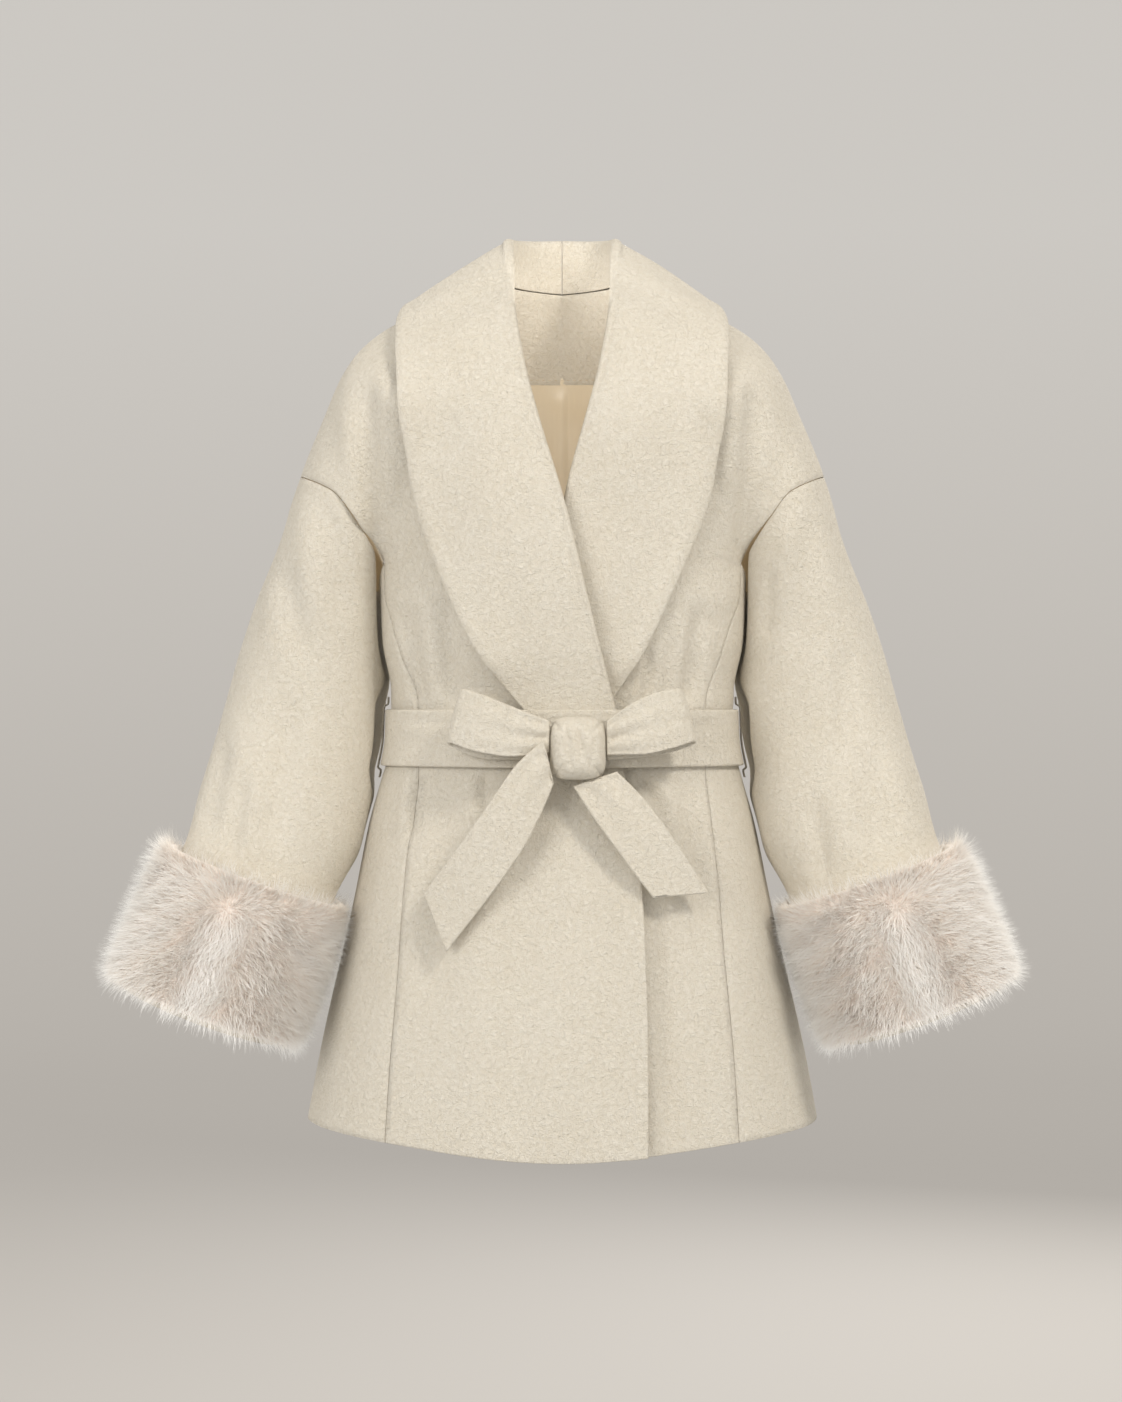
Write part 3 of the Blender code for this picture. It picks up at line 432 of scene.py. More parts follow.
def graded(tree, factor, stops):
    """Colour ramp over a value; stops are (place, hex)."""
    made = node(tree, "ShaderNodeValToRGB", links={"Fac": factor})
    ramp_of = made.color_ramp
    while len(ramp_of.elements) < len(stops):
        ramp_of.elements.new(0.5)
    for element, (where, value) in zip(ramp_of.elements, stops):
        element.position = where
        element.color = shade(value)
    return made.outputs["Color"]


# %% Felted wool
FUZZ_MM = 1.3            # tufts of raised fibre, drawn coarse enough to show
MILLED_MM = 4.2          # the uneven mat under them
CLOUD_MM = 60.0          # slow change of colour over a panel


def felted_wool(name, deep, middle, light):
    """Brushed ivory coating: matt, clouded, with a pale halo at its edges."""
    made, tree, shader = blank(name, {
        "Roughness": 0.93, "Specular IOR Level": 0.22, "Sheen Weight": 0.38,
        "Sheen Roughness": 0.45, "Sheen Tint": shade("#FFF6E6")})
    place = node(tree, "ShaderNodeTexCoord").outputs["Object"]
    cloud = node(tree, "ShaderNodeTexNoise", values={"Scale": 1000.0 / CLOUD_MM, "Detail": 3.0},
                 links={"Vector": place})
    mat = node(tree, "ShaderNodeTexNoise", values={"Scale": 1000.0 / MILLED_MM, "Detail": 5.0,
                                                   "Roughness": 0.65, "Distortion": 0.6},
               links={"Vector": place})
    fuzz = node(tree, "ShaderNodeTexNoise", values={"Scale": 1000.0 / FUZZ_MM, "Detail": 3.0,
                                                    "Roughness": 0.7},
                links={"Vector": place})
    both = node(tree, "ShaderNodeMix", {"data_type": "FLOAT"}, {"Factor": 0.45},
                {"A": mat.outputs["Fac"], "B": fuzz.outputs["Fac"]})
    mixed = node(tree, "ShaderNodeMix", {"data_type": "FLOAT"}, {"Factor": 0.12},
                 {"A": both.outputs["Result"], "B": cloud.outputs["Fac"]})
    colour = graded(tree, mixed.outputs["Result"], [(0.34, deep), (0.50, middle), (0.66, light)])
    low = node(tree, "ShaderNodeBump", values={"Strength": 0.9, "Distance": 0.0028},
               links={"Height": mat.outputs["Fac"]})
    high = node(tree, "ShaderNodeBump", values={"Strength": 1.0, "Distance": 0.0013},
                links={"Height": fuzz.outputs["Fac"], "Normal": low.outputs["Normal"]})
    tree.links.new(colour, shader.inputs["Base Color"])
    tree.links.new(high.outputs["Normal"], shader.inputs["Normal"])
    return made


IVORY_WOOL = felted_wool("felted ivory wool", "#DFD5C1", "#E8E0D0", "#F0EADD")
print("felted wool:", IVORY_WOOL.name)

# %% [markdown]
# The lining is **acetate satin**: long floats of smooth yarn lie side by side, so it is darker and
# glossier than the wool, with a highlight that stretches across the floats. Anisotropy on the
# shader's own socket stretches it, and a very fine ripple stands for the yarns.

# %% Satin
YARN_MM = 0.9            # drawn coarser than the real 0.1 mm yarn so that it can show


def satin(name):
    """Cream acetate satin of the lining."""
    made, tree, shader = blank(name, {"Roughness": 0.42, "Anisotropic": 0.5, "Sheen Weight": 0.15})
    place = node(tree, "ShaderNodeTexCoord").outputs["Object"]
    yarn = node(tree, "ShaderNodeTexWave", {"wave_type": "BANDS", "bands_direction": "X"},
                {"Scale": 1000.0 / YARN_MM / 20.0, "Distortion": 1.2, "Detail": 2.0},
                {"Vector": place})
    cloud = node(tree, "ShaderNodeTexNoise", values={"Scale": 14.0, "Detail": 2.0},
                 links={"Vector": place})
    colour = graded(tree, cloud.outputs["Fac"], [(0.3, "#E8D9BE"), (0.7, "#F2E7D2")])
    ripple = node(tree, "ShaderNodeBump", values={"Strength": 0.25, "Distance": 0.0003},
                  links={"Height": yarn.outputs["Fac"]})
    tree.links.new(colour, shader.inputs["Base Color"])
    tree.links.new(ripple.outputs["Normal"], shader.inputs["Normal"])
    return made


CREAM_SATIN = satin("cream acetate satin")
print("satin:", CREAM_SATIN.name)

# %% [markdown]
# ## Fronts, backs and side panels
#
# Each front and each half of the back is one cut piece from shoulder to hem. Its upper part is a
# patch between four lines: shoulder seam, armhole, front edge and underarm. Its lower part follows
# the rounded sections. Drawing the patch from its edges keeps neighbouring pieces on one seam line,
# which a sculpted panel would lose.

# %% Seams and edges
SEAM = 0.00015           # a panel keeps this back from a seam line
WOOL = 0.0024
SEAM_ROLL = 0.09         # edges pressed flat at a seam are rounded less than free ones
FRONT_ROLL = 0.45
HEM_ROLL = 0.40
FRONT_TURN = math.radians(147.0)
MEAN_RADIUS = 0.17
TOP_OF_BACK = 0.0295
TOP_OF_FRONT = 0.0280

SLEEVE = [  # way, x, z, y, half_width, half_depth, lean in degrees
    (-0.045, 0.1988, -0.1670, 0.015, 0.0550, 0.087, 17.0),
    (0.000, 0.2120, -0.2100, 0.015, 0.0550, 0.088, 17.0),
    (0.100, 0.2316, -0.3075, 0.017, 0.0700, 0.080, 17.0),
    (0.160, 0.2410, -0.3670, 0.014, 0.0785, 0.076, 17.0),
    (0.270, 0.2650, -0.4735, -0.014, 0.0834, 0.070, 17.5),
    (0.333, 0.2865, -0.5325, -0.036, 0.0760, 0.062, 19.6),
    (0.480, 0.3410, -0.6710, -0.066, 0.0770, 0.062, 21.0),
]
ARMHOLE = [  # cosine of the angle round the sleeve, way along it
    (-1.000, 0.0396),
    (-0.840, 0.0180),
    (-0.650, 0.0037),
    (-0.233, -0.0165),
    (0.265, -0.0340),
    (1.000, -0.0400),
]
PRINCESS = [  # z, x
    (-0.800, 0.1655),
    (-0.716, 0.1605),
    (-0.613, 0.1520),
    (-0.552, 0.1480),
    (-0.478, 0.1400),
    (-0.433, 0.1355),
    (-0.377, 0.1355),
    (-0.333, 0.1485),
    (-0.298, 0.1600),
    (-0.275, 0.1680),
    (-0.241, 0.1700),
]
OVER_EDGE = [  # z, x of the front that lies on top, measured from its own side
    (-0.800, -0.078),
    (-0.690, -0.0775),
    (-0.600, -0.075),
    (-0.500, -0.069),
    (-0.430, -0.055),
    (-0.378, -0.034),
    (-0.340, -0.022),
    (-0.263, 0.000),
    (-0.188, 0.020),
    (-0.107, 0.045),
    (-0.060, 0.056),
    (-0.002, 0.064),
    (0.030, 0.058),
]
UNDER_EDGE = [  # z, x of the front underneath
    (-0.800, -0.070),
    (-0.700, -0.070),
    (-0.550, -0.055),
    (-0.440, -0.020),
    (-0.380, 0.004),
    (-0.340, 0.010),
    (-0.263, 0.014),
    (-0.188, 0.024),
    (-0.107, 0.045),
    (-0.060, 0.056),
    (-0.002, 0.064),
    (0.030, 0.058),
]
OVER_LIFT = [  # z, how far the top front stands off the form where it crosses
    (-0.800, 0.0055),
    (-0.480, 0.0060),
    (-0.420, 0.0110),
    (-0.190, 0.0110),
    (-0.130, 0.0025),
    (-0.080, 0.0),
]


def sleeve_point(way, turn, out=0.0):
    """Point of the sleeve; turn is 0 on its outermost line, 90 degrees in front."""
    lean = np.radians(read(SLEEVE, 6, way))
    wide = (read(SLEEVE, 4, way) + out) * np.cos(turn)
    deep = (read(SLEEVE, 5, way) + out) * np.sin(turn)
    x = read(SLEEVE, 1, way) + wide * np.cos(lean)
    y = read(SLEEVE, 3, way) - deep
    z = read(SLEEVE, 2, way) + wide * np.sin(lean)
    return points(x, y, z)


def turned_out(found, rough):
    """Each normal turned to the side that its own rough direction points to."""
    return np.where((found * rough).sum(-1, keepdims=True) < 0.0, -found, found)


def sleeve_normals(turn):
    """Outward normals of the sleeve along the armhole seam."""
    step = 0.002
    way = read(ARMHOLE, 1, np.cos(turn))
    round_it = sleeve_point(way, turn + step) - sleeve_point(way, turn - step)
    down = sleeve_point(way + step, turn) - sleeve_point(way - step, turn)
    found = unit(np.cross(round_it, down))
    lean = np.radians(read(SLEEVE, 6, way))
    rough = points(np.cos(turn) * np.cos(lean), -np.sin(turn), np.cos(turn) * np.sin(lean))
    return turned_out(found, rough)


def body_normals(place):
    """Outward normals of the body below the underarm."""
    theta = np.arctan2(place[..., 0], -place[..., 1])
    z = place[..., 2]
    step = 0.001
    across = around_body(theta + step, z) - around_body(theta - step, z)
    down = around_body(theta, z - step) - around_body(theta, z + step)
    rough = points(np.sin(theta), -np.cos(theta), 0.0 * z)
    return turned_out(unit(np.cross(down, across)), rough)


def over_lift(x, z):
    """How far the top front stands off the form; x is positive on its own side."""
    return read(OVER_LIFT, 1, z) * (1.0 - ramp(x, 0.060, 0.135))


def no_lift(x, z):
    """The other panels lie on the form itself."""
    return 0.0 * np.asarray(x)


def princess_angle(z, back, inset):
    """Angle of the princess seam, kept back from the seam line."""
    theta = angle_at(read(PRINCESS, 1, z), z, back)
    return theta + (1.0 if back else -1.0) * inset / MEAN_RADIUS


def hem_height(theta):
    """Height of the hem round the body."""
    return HEM + HEM_RISE * np.sin(theta) ** 2


def patch(top, bottom, inner, outer):
    """Grid of places inside four edge lines, rows from top to bottom, columns inner to outer."""
    v = np.linspace(0.0, 1.0, len(inner))[:, None, None]
    u = np.linspace(0.0, 1.0, len(top))[None, :, None]
    ruled = (1 - v) * top[None] + v * bottom[None] + (1 - u) * inner[:, None] + u * outer[:, None]
    corners = ((1 - u) * (1 - v) * top[0] + u * (1 - v) * top[-1]
               + (1 - u) * v * bottom[0] + u * v * bottom[-1])
    return ruled - corners


# %% Panel grids
UPPER_ROWS = 54
LOWER_ROWS = 104
COLUMNS = 42
EDGE_BLEND = 0.6         # share of a panel from which it runs to its edges' own depth


def lower_grid(edge, lift, back):
    """Body panel below the underarm, from its front or centre edge to the princess seam."""
    side = 1.0 if back else -1.0
    rows = []
    for share in np.linspace(0.0, 1.0, LOWER_ROWS):
        z = UNDERARM + (HEM - UNDERARM) * share
        first = float(angle_at(edge(z), z, back))
        last = float(princess_angle(z, back, SEAM))
        theta = np.linspace(first, last, COLUMNS)
        row = around_body(theta, UNDERARM + (hem_height(theta) - UNDERARM) * share)
        row[:, 1] += side * lift(row[:, 0], row[:, 2])
        rows.append(row)
    return np.array(rows)


def upper_grid(edge, lift, back, below):
    """Body panel over the chest and shoulder, between its four edge lines."""
    side = 1.0 if back else -1.0
    way = np.linspace(0.0 if back else NECK_WAY, 1.0, COLUMNS)
    turn = np.linspace(0.0, FRONT_TURN, UPPER_ROWS)
    armhole = sleeve_point(read(ARMHOLE, 1, np.cos(turn)) - 2.0 * SEAM, -turn if back else turn)
    armhole[-1] = around_body(princess_angle(UNDERARM, back, 3.0 * SEAM), UNDERARM)
    inner_z = np.linspace(TOP_OF_BACK if back else TOP_OF_FRONT, UNDERARM, UPPER_ROWS)
    inner = np.stack([edge(inner_z), inner_z], axis=-1)
    top = np.stack([read(OUTLINE, 1, way), read(OUTLINE, 2, way)], axis=-1)
    if back:
        top[:, 1] = np.minimum(top[:, 1], TOP_OF_BACK)
    top[0] = inner[0]
    top[-1] = armhole[0][[0, 2]]
    flat = patch(top, below[:, [0, 2]], inner, armhole[:, [0, 2]])
    x, z = flat[..., 0], flat[..., 1]
    y = form_y(x, z, back) + side * lift(x, z)
    u = np.linspace(0.0, 1.0, COLUMNS)[None, :]
    v = np.linspace(0.0, 1.0, UPPER_ROWS)[:, None]
    y = y + (armhole[:, 1] - y[:, -1])[:, None] * ramp(u, EDGE_BLEND, 1.0)
    y = y + (below[:, 1] - y[-1])[None, :] * ramp(v, EDGE_BLEND, 1.0)
    ridge = way >= NECK_WAY
    y[0, ridge] = ARM_BACK * ramp(x[0, ridge], *BACKWARDS) + side * SEAM
    return points(x, y, z), ridge


EVEN_ROWS = 13           # rows above and below the underarm that are evened out
EVEN_TIMES = 90
TUBE_WHOLLY = 0.55       # share of the armhole up to which edges take the sleeve's own normals
TUBE_GONE = 0.80


def evened(outer):
    """The panel with its upper and lower parts run softly into each other at the underarm."""
    rows, columns = outer.shape[:2]
    away = np.abs(np.arange(rows) - (UPPER_ROWS - 1))[:, None] / EVEN_ROWS
    across = np.linspace(0.0, 1.0, columns)[None, :]
    weight = (1.0 - ramp(away, 0.3, 1.0)) * (1.0 - ramp(across, 0.80, 1.0))
    for _ in range(EVEN_TIMES):
        mean = (outer[:-2, :, 1] + outer[2:, :, 1]) * 0.5
        outer[1:-1, :, 1] += (mean - outer[1:-1, :, 1]) * 0.5 * weight[1:-1]
    return outer


def body_panel(edge, lift, back):
    """Front or back half from shoulder to hem: its outer grid and the outward normals."""
    side = 1.0 if back else -1.0
    below = lower_grid(edge, lift, back)
    above, ridge = upper_grid(edge, lift, back, below[0])
    outer = evened(np.concatenate([above[:-1], below]))
    outward = normals_of(outer)
    if outward[UPPER_ROWS + LOWER_ROWS // 3, COLUMNS // 2, 1] * side < 0.0:
        outward = -outward
    outward[0, ridge, 1] = 0.0
    outward[0] = unit(outward[0])
    turn = np.linspace(0.0, FRONT_TURN, UPPER_ROWS)
    tube = sleeve_normals(-turn if back else turn)
    keep = (1.0 - ramp(turn / FRONT_TURN, TUBE_WHOLLY, TUBE_GONE))[:, None]
    outward[:UPPER_ROWS, -1] = unit(tube * keep + outward[:UPPER_ROWS, -1] * (1.0 - keep))
    outward[UPPER_ROWS - 1:, -1] = body_normals(outer[UPPER_ROWS - 1:, -1])
    if back:
        outward[:, 0, 0] = 0.0
        outward[:, 0] = unit(outward[:, 0])
    return outer, outward


SIDE_COLUMNS = 36
UNDERARM_DIP = 0.018     # the side panel's top is hollowed for the armhole
DIP_SHARE = 0.07


def side_grid():
    """Underarm panel between the princess seams, from the armhole to the hem."""
    rows = []
    for share in np.linspace(0.0, 1.0, LOWER_ROWS):
        z = UNDERARM + (HEM - UNDERARM) * share
        first = float(princess_angle(z, False, -SEAM))
        last = float(princess_angle(z, True, -SEAM))
        theta = np.linspace(first, last, SIDE_COLUMNS)
        height = UNDERARM + (hem_height(theta) - UNDERARM) * share
        dip = UNDERARM_DIP * np.sin(np.linspace(0.0, math.pi, SIDE_COLUMNS))
        dip = dip * max(0.0, 1.0 - share / DIP_SHARE)
        rows.append(around_body(theta, height - dip))
    outer = np.array(rows)
    return outer, body_normals(outer)


FLIP = np.array([-1.0, 1.0, 1.0])
SIDES = (("right", True), ("left", False))


def on_the_right(grids, right=True):
    """The same grids on the wearer's right, or as they are."""
    return [grid * FLIP for grid in grids] if right else grids


# %% [markdown]
# The folds of the body, in one table for the front and one for the back. A seam must not step
# where two panels meet, so both take their folds from the same function of place. Under the belt
# the cloth is held flat.

# %% Body folds
FRONT_FOLDS = [  # x1, z1, x2, z2, width, depth
    (-0.184, -0.070, -0.172, -0.240, 0.0110, 0.0075),
    (0.180, -0.072, 0.170, -0.236, 0.0110, 0.0072),
    (-0.108, -0.270, -0.103, -0.374, 0.0090, 0.0060),
    (-0.146, -0.290, -0.130, -0.377, 0.0075, 0.0045),
    (0.082, -0.330, 0.078, -0.374, 0.0055, 0.0036),
    (0.128, -0.285, 0.117, -0.377, 0.0085, 0.0060),
    (0.102, -0.310, 0.097, -0.377, 0.0055, 0.0036),
    (-0.130, -0.434, -0.140, -0.500, 0.0060, 0.0060),
    (-0.070, -0.432, -0.077, -0.485, 0.0055, 0.0045),
    (-0.104, -0.434, -0.120, -0.640, 0.0140, 0.0042),
    (0.068, -0.434, 0.094, -0.475, 0.0055, 0.0050),
    (0.112, -0.434, 0.134, -0.570, 0.0110, 0.0050),
    (0.086, -0.540, 0.100, -0.785, 0.0085, 0.0050),
    (-0.030, -0.470, -0.050, -0.780, 0.0200, 0.0040),
]
BACK_FOLDS = [
    (-0.180, -0.080, -0.165, -0.250, 0.0120, 0.0080),
    (0.176, -0.076, 0.168, -0.240, 0.0115, 0.0074),
    (-0.090, -0.300, -0.080, -0.376, 0.0090, 0.0058),
    (0.060, -0.310, 0.056, -0.377, 0.0080, 0.0046),
    (0.118, -0.290, 0.104, -0.377, 0.0085, 0.0054),
    (-0.020, -0.322, -0.018, -0.377, 0.0070, 0.0036),
    (-0.116, -0.434, -0.146, -0.640, 0.0150, 0.0066),
    (-0.040, -0.434, -0.056, -0.700, 0.0180, 0.0064),
    (0.052, -0.434, 0.070, -0.720, 0.0170, 0.0062),
    (0.120, -0.434, 0.140, -0.600, 0.0130, 0.0054),
]
GROOVE = 0.0003          # how far a seam draws the cloth in
GROOVE_WIDE = 0.0045


def body_creases(place):
    """How far the body's cloth moves along its normals, by place."""
    y, z = place[..., 1], place[..., 2]
    front = folds(place, FRONT_FOLDS) * ramp(-y, 0.0, 0.05)
    behind = folds(place, BACK_FOLDS) * ramp(y, 0.0, 0.05)
    theta = np.arctan2(place[..., 0], -y)
    skirt = ramp(-z, 0.46, 0.76) * 0.0022 * np.sin(5.0 * theta + 1.1) * np.sin(2.0 * theta + 0.4)
    held = ramp(z, BELT_BOTTOM - 0.012, BELT_BOTTOM) * (1.0 - ramp(z, BELT_TOP, BELT_TOP + 0.010))
    shoulder = 1.0 - ramp(z, -0.07, 0.0)
    moved = (front + behind + skirt) * shoulder + unevenness(place, 0.0011, 5)
    return moved * (1.0 - held) - 0.0006


def seam_dip(outer, sides):
    """Groove along the named edges of a panel."""
    rows, columns = outer.shape[:2]
    dip = np.zeros((rows, columns))
    edges = {"outer": outer[:, -1:], "inner": outer[:, :1], "top": outer[:1]}
    for side in sides:
        away = np.linalg.norm(outer - edges[side], axis=-1)
        dip = np.maximum(dip, GROOVE * np.exp(-(away / GROOVE_WIDE) ** 2))
    return dip


# %% Folds and seams of a panel
def free_edges(outer):
    """Roundness of a front's edges: flat at seams, a full roll at the front edge and the hem."""
    roll = np.full(outer.shape[:2], SEAM_ROLL)
    roll[:, 0] = FRONT_ROLL
    roll[-1] = HEM_ROLL
    return roll


def creased(outer, outward, sides):
    """The panel's grid with its folds and its seams drawn in."""
    moved = body_creases(outer) - seam_dip(outer, sides)
    return outer + outward * moved[..., None]


def over_edge(z):
    """Front edge of the front on top."""
    return read(OVER_EDGE, 1, z)


def under_edge(z):
    """Front edge of the front underneath."""
    return read(UNDER_EDGE, 1, z)


def centre_back(z):
    """Centre back seam."""
    return SEAM + 0.0 * np.asarray(z)


# %% Front that lies on top
FACED = 0.0016           # the front edge is turned under, so it is this much thicker
FACED_WIDE = 0.008
CURL = 0.0042            # how far the hanging edge curls forward
CURL_WIDE = 0.020
CHANNEL = 0.0030         # shallow trough beside the curled edge
CHANNEL_AT = 0.034
CHANNEL_WIDE = 0.011


def front_edge_shape(outer):
    """Curl, channel and extra thickness along the free edge below the belt."""
    away = np.linalg.norm(outer - outer[:, :1], axis=-1)
    hanging = ramp(-outer[..., 2], 0.445, 0.52)
    curl = CURL * np.exp(-(away / CURL_WIDE) ** 2)
    channel = CHANNEL * np.exp(-((away - CHANNEL_AT) / CHANNEL_WIDE) ** 2)
    channel = channel * ramp(-outer[..., 2], 0.50, 0.62)
    return hanging * (curl - channel), hanging * FACED * np.exp(-(away / FACED_WIDE) ** 2)


outer, outward = on_the_right(body_panel(over_edge, over_lift, False))
curl, faced = front_edge_shape(outer)
folded = creased(outer, outward, ["outer", "top"]) + outward * (curl + faced)[..., None]
front_right = cloth("front_right", folded, outward, WOOL + faced,
                    [IVORY_WOOL, CREAM_SATIN], roll=free_edges(outer))
joins(front_right, "front_right")

# %% Front underneath
outer, outward = body_panel(under_edge, no_lift, False)
front_left = cloth("front_left", creased(outer, outward, ["outer", "top"]), outward, WOOL,
                   [IVORY_WOOL, CREAM_SATIN], roll=free_edges(outer))
joins(front_left, "front_left")

# %% Backs and side panels
for name, grids, flat, area, seams in (
        ("back_left", body_panel(centre_back, no_lift, True), (0.29, 0.86), 0.165,
         ["inner", "outer", "top"]),
        ("back_right", on_the_right(body_panel(centre_back, no_lift, True)), (0.29, 0.86), 0.165,
         ["inner", "outer", "top"]),
        ("side_panel_left", side_grid(), (0.24, 0.57), 0.112, ["inner", "outer"]),
        ("side_panel_right", on_the_right(side_grid()), (0.24, 0.57), 0.112, ["inner", "outer"])):
    outer, outward = grids
    made = cloth(name, creased(outer, outward, seams), outward, WOOL, [IVORY_WOOL, CREAM_SATIN],
                 roll=SEAM_ROLL)
    joins(made, name)

# %% [markdown]
# ## Sleeves
#
# A one-piece sleeve is sewn into a tube and set into the dropped armhole. Worn sleeves of thick
# wool hang as soft columns, with a few long troughs where the elbow bends and above the cuff. The
# tube is drawn round its own leaning axis and pushed clear of the body, then folded like the body.

# %% Sleeve grids
SLEEVE_CLEAR = 0.0028
CUFF_TOP = 0.326
CUFF_END = 0.478
SLEEVE_TURNS = 92
SLEEVE_RINGS = 96
SLEEVE_END = CUFF_END - 0.004
CARRIER_BULGE = 0.0125   # how much more the sleeve keeps clear beside a belt carrier
CARRIER_NEAR = 0.035
CLEAR_SOFT = 0.004


def clear_of_body(place, clearance):
    """Pushes points of a sleeve or cuff outwards until they clear the body."""
    x, y, z = place[..., 0], place[..., 1], place[..., 2]
    deep = np.where(y < 0.0, read(BODY, 2, z), read(BODY, 3, z))
    share = np.clip(np.abs(y) / deep, 0.0, 1.0)
    limit = read(BODY, 1, z) * rest_of_section(share)
    carrier = ramp(z, BELT_BOTTOM - CARRIER_NEAR, BELT_BOTTOM)
    carrier = carrier * (1.0 - ramp(z, BELT_TOP, BELT_TOP + CARRIER_NEAR))
    limit = limit + clearance + CARRIER_BULGE * carrier
    short = limit - x
    eased = (short + CLEAR_SOFT) ** 2 / (4.0 * CLEAR_SOFT)
    push = np.where(np.abs(short) < CLEAR_SOFT, eased, np.maximum(short, 0.0))
    moved = place.copy()
    moved[..., 0] = x + push
    return moved


def round_turns(count):
    """Angles round a tube, from its outermost line forwards."""
    turn = np.linspace(0.0, 2.0 * math.pi, count, endpoint=False)
    return np.where(turn > math.pi, turn - 2.0 * math.pi, turn)


def outward_of_tube(grid):
    """Unit normals of a closed tube, pointing away from its middle."""
    return facing_out(normals_of(grid, around=True), grid - grid.mean(axis=1, keepdims=True))


def sleeve_grid():
    """Sleeve from the armhole seam to inside the cuff."""
    turn = round_turns(SLEEVE_TURNS)
    start = read(ARMHOLE, 1, np.cos(turn)) + 2.0 * SEAM
    rows = []
    for share in np.linspace(0.0, 1.0, SLEEVE_RINGS):
        way = start + (SLEEVE_END - start) * share
        rows.append(clear_of_body(sleeve_point(way, turn), SLEEVE_CLEAR))
    outer = np.array(rows)
    outward = outward_of_tube(outer)
    keep = (1.0 - ramp(np.abs(turn) / FRONT_TURN, TUBE_WHOLLY, TUBE_GONE))[:, None]
    outward[0] = unit(sleeve_normals(turn) * keep + outward[0] * (1.0 - keep))
    return outer, outward


SLEEVE_FRONT_RIGHT = [  # x1, z1, x2, z2, width, depth, seen from the front
    (-0.310, -0.520, -0.298, -0.440, 0.0100, 0.0067),
    (-0.330, -0.500, -0.320, -0.400, 0.0120, 0.0048),
    (-0.270, -0.500, -0.252, -0.380, 0.0140, 0.0064),
    (-0.220, -0.180, -0.206, -0.300, 0.0150, 0.0058),
    (-0.262, -0.240, -0.240, -0.340, 0.0130, 0.0038),
]
SLEEVE_FRONT_LEFT = [
    (0.244, -0.540, 0.236, -0.460, 0.0100, 0.0061),
    (0.300, -0.510, 0.286, -0.420, 0.0130, 0.0058),
    (0.196, -0.240, 0.190, -0.320, 0.0110, 0.0064),
    (0.232, -0.200, 0.216, -0.330, 0.0150, 0.0054),
    (0.268, -0.320, 0.262, -0.430, 0.0120, 0.0038),
]
SLEEVE_BACK = [
    (-0.286, -0.500, -0.260, -0.380, 0.0150, 0.0067),
    (-0.232, -0.180, -0.214, -0.320, 0.0150, 0.0064),
    (-0.320, -0.510, -0.300, -0.420, 0.0110, 0.0048),
    (0.290, -0.510, 0.262, -0.380, 0.0150, 0.0064),
    (0.230, -0.190, 0.212, -0.330, 0.0150, 0.0061),
    (0.252, -0.270, 0.236, -0.360, 0.0100, 0.0042),
]


def sleeve_creases(outer, outward, rows):
    """How far the sleeve's cloth moves; the side next to the body stays clear of it."""
    front = folds(outer, rows) * ramp(-outward[..., 1], 0.0, 0.6)
    behind = folds(outer, SLEEVE_BACK) * ramp(outward[..., 1], 0.0, 0.6)
    under_cuff = 1.0 - ramp(np.linspace(0.0, 1.0, len(outer)), 0.66, 0.74)[:, None]
    start = np.linalg.norm(outer - outer[:1], axis=-1)
    dip = GROOVE * np.exp(-(start / GROOVE_WIDE) ** 2)
    grow = ramp(start, 0.0, 0.03)
    moved = (front + behind) * grow * under_cuff + unevenness(outer, 0.0011, 5)
    inwards = -outward[..., 0] * np.sign(outer[..., 0])
    return np.where(moved > 0.0, moved * (1.0 - ramp(inwards, 0.0, 0.5)), moved) - dip - 0.0006


def sleeve(name, right):
    """A finished sleeve."""
    outer, outward = on_the_right(sleeve_grid(), right)
    rows = SLEEVE_FRONT_RIGHT if right else SLEEVE_FRONT_LEFT
    moved = outer + outward * sleeve_creases(outer, outward, rows)[..., None]
    return cloth(name, moved, outward, WOOL, [IVORY_WOOL, CREAM_SATIN], around=True,
                 roll=SEAM_ROLL)


# %% Both sleeves
for side, right in SIDES:
    made = sleeve("sleeve_" + side, right)
    joins(made, "sleeve_" + side)

# %% [markdown]
# ## Shawl collar
#
# The collar is one band: it stands up from the neck seam, rolls over, and falls to an outer edge
# that widens over the shoulder. Down the front the roll becomes the long line of the V. It is two
# layers of coating sewn and turned, so it is thicker than the body and its edge is plump. Each
# station is a section of stand, half-round roll and fall; the sections are read from the same
# table as the solid, only closer together.

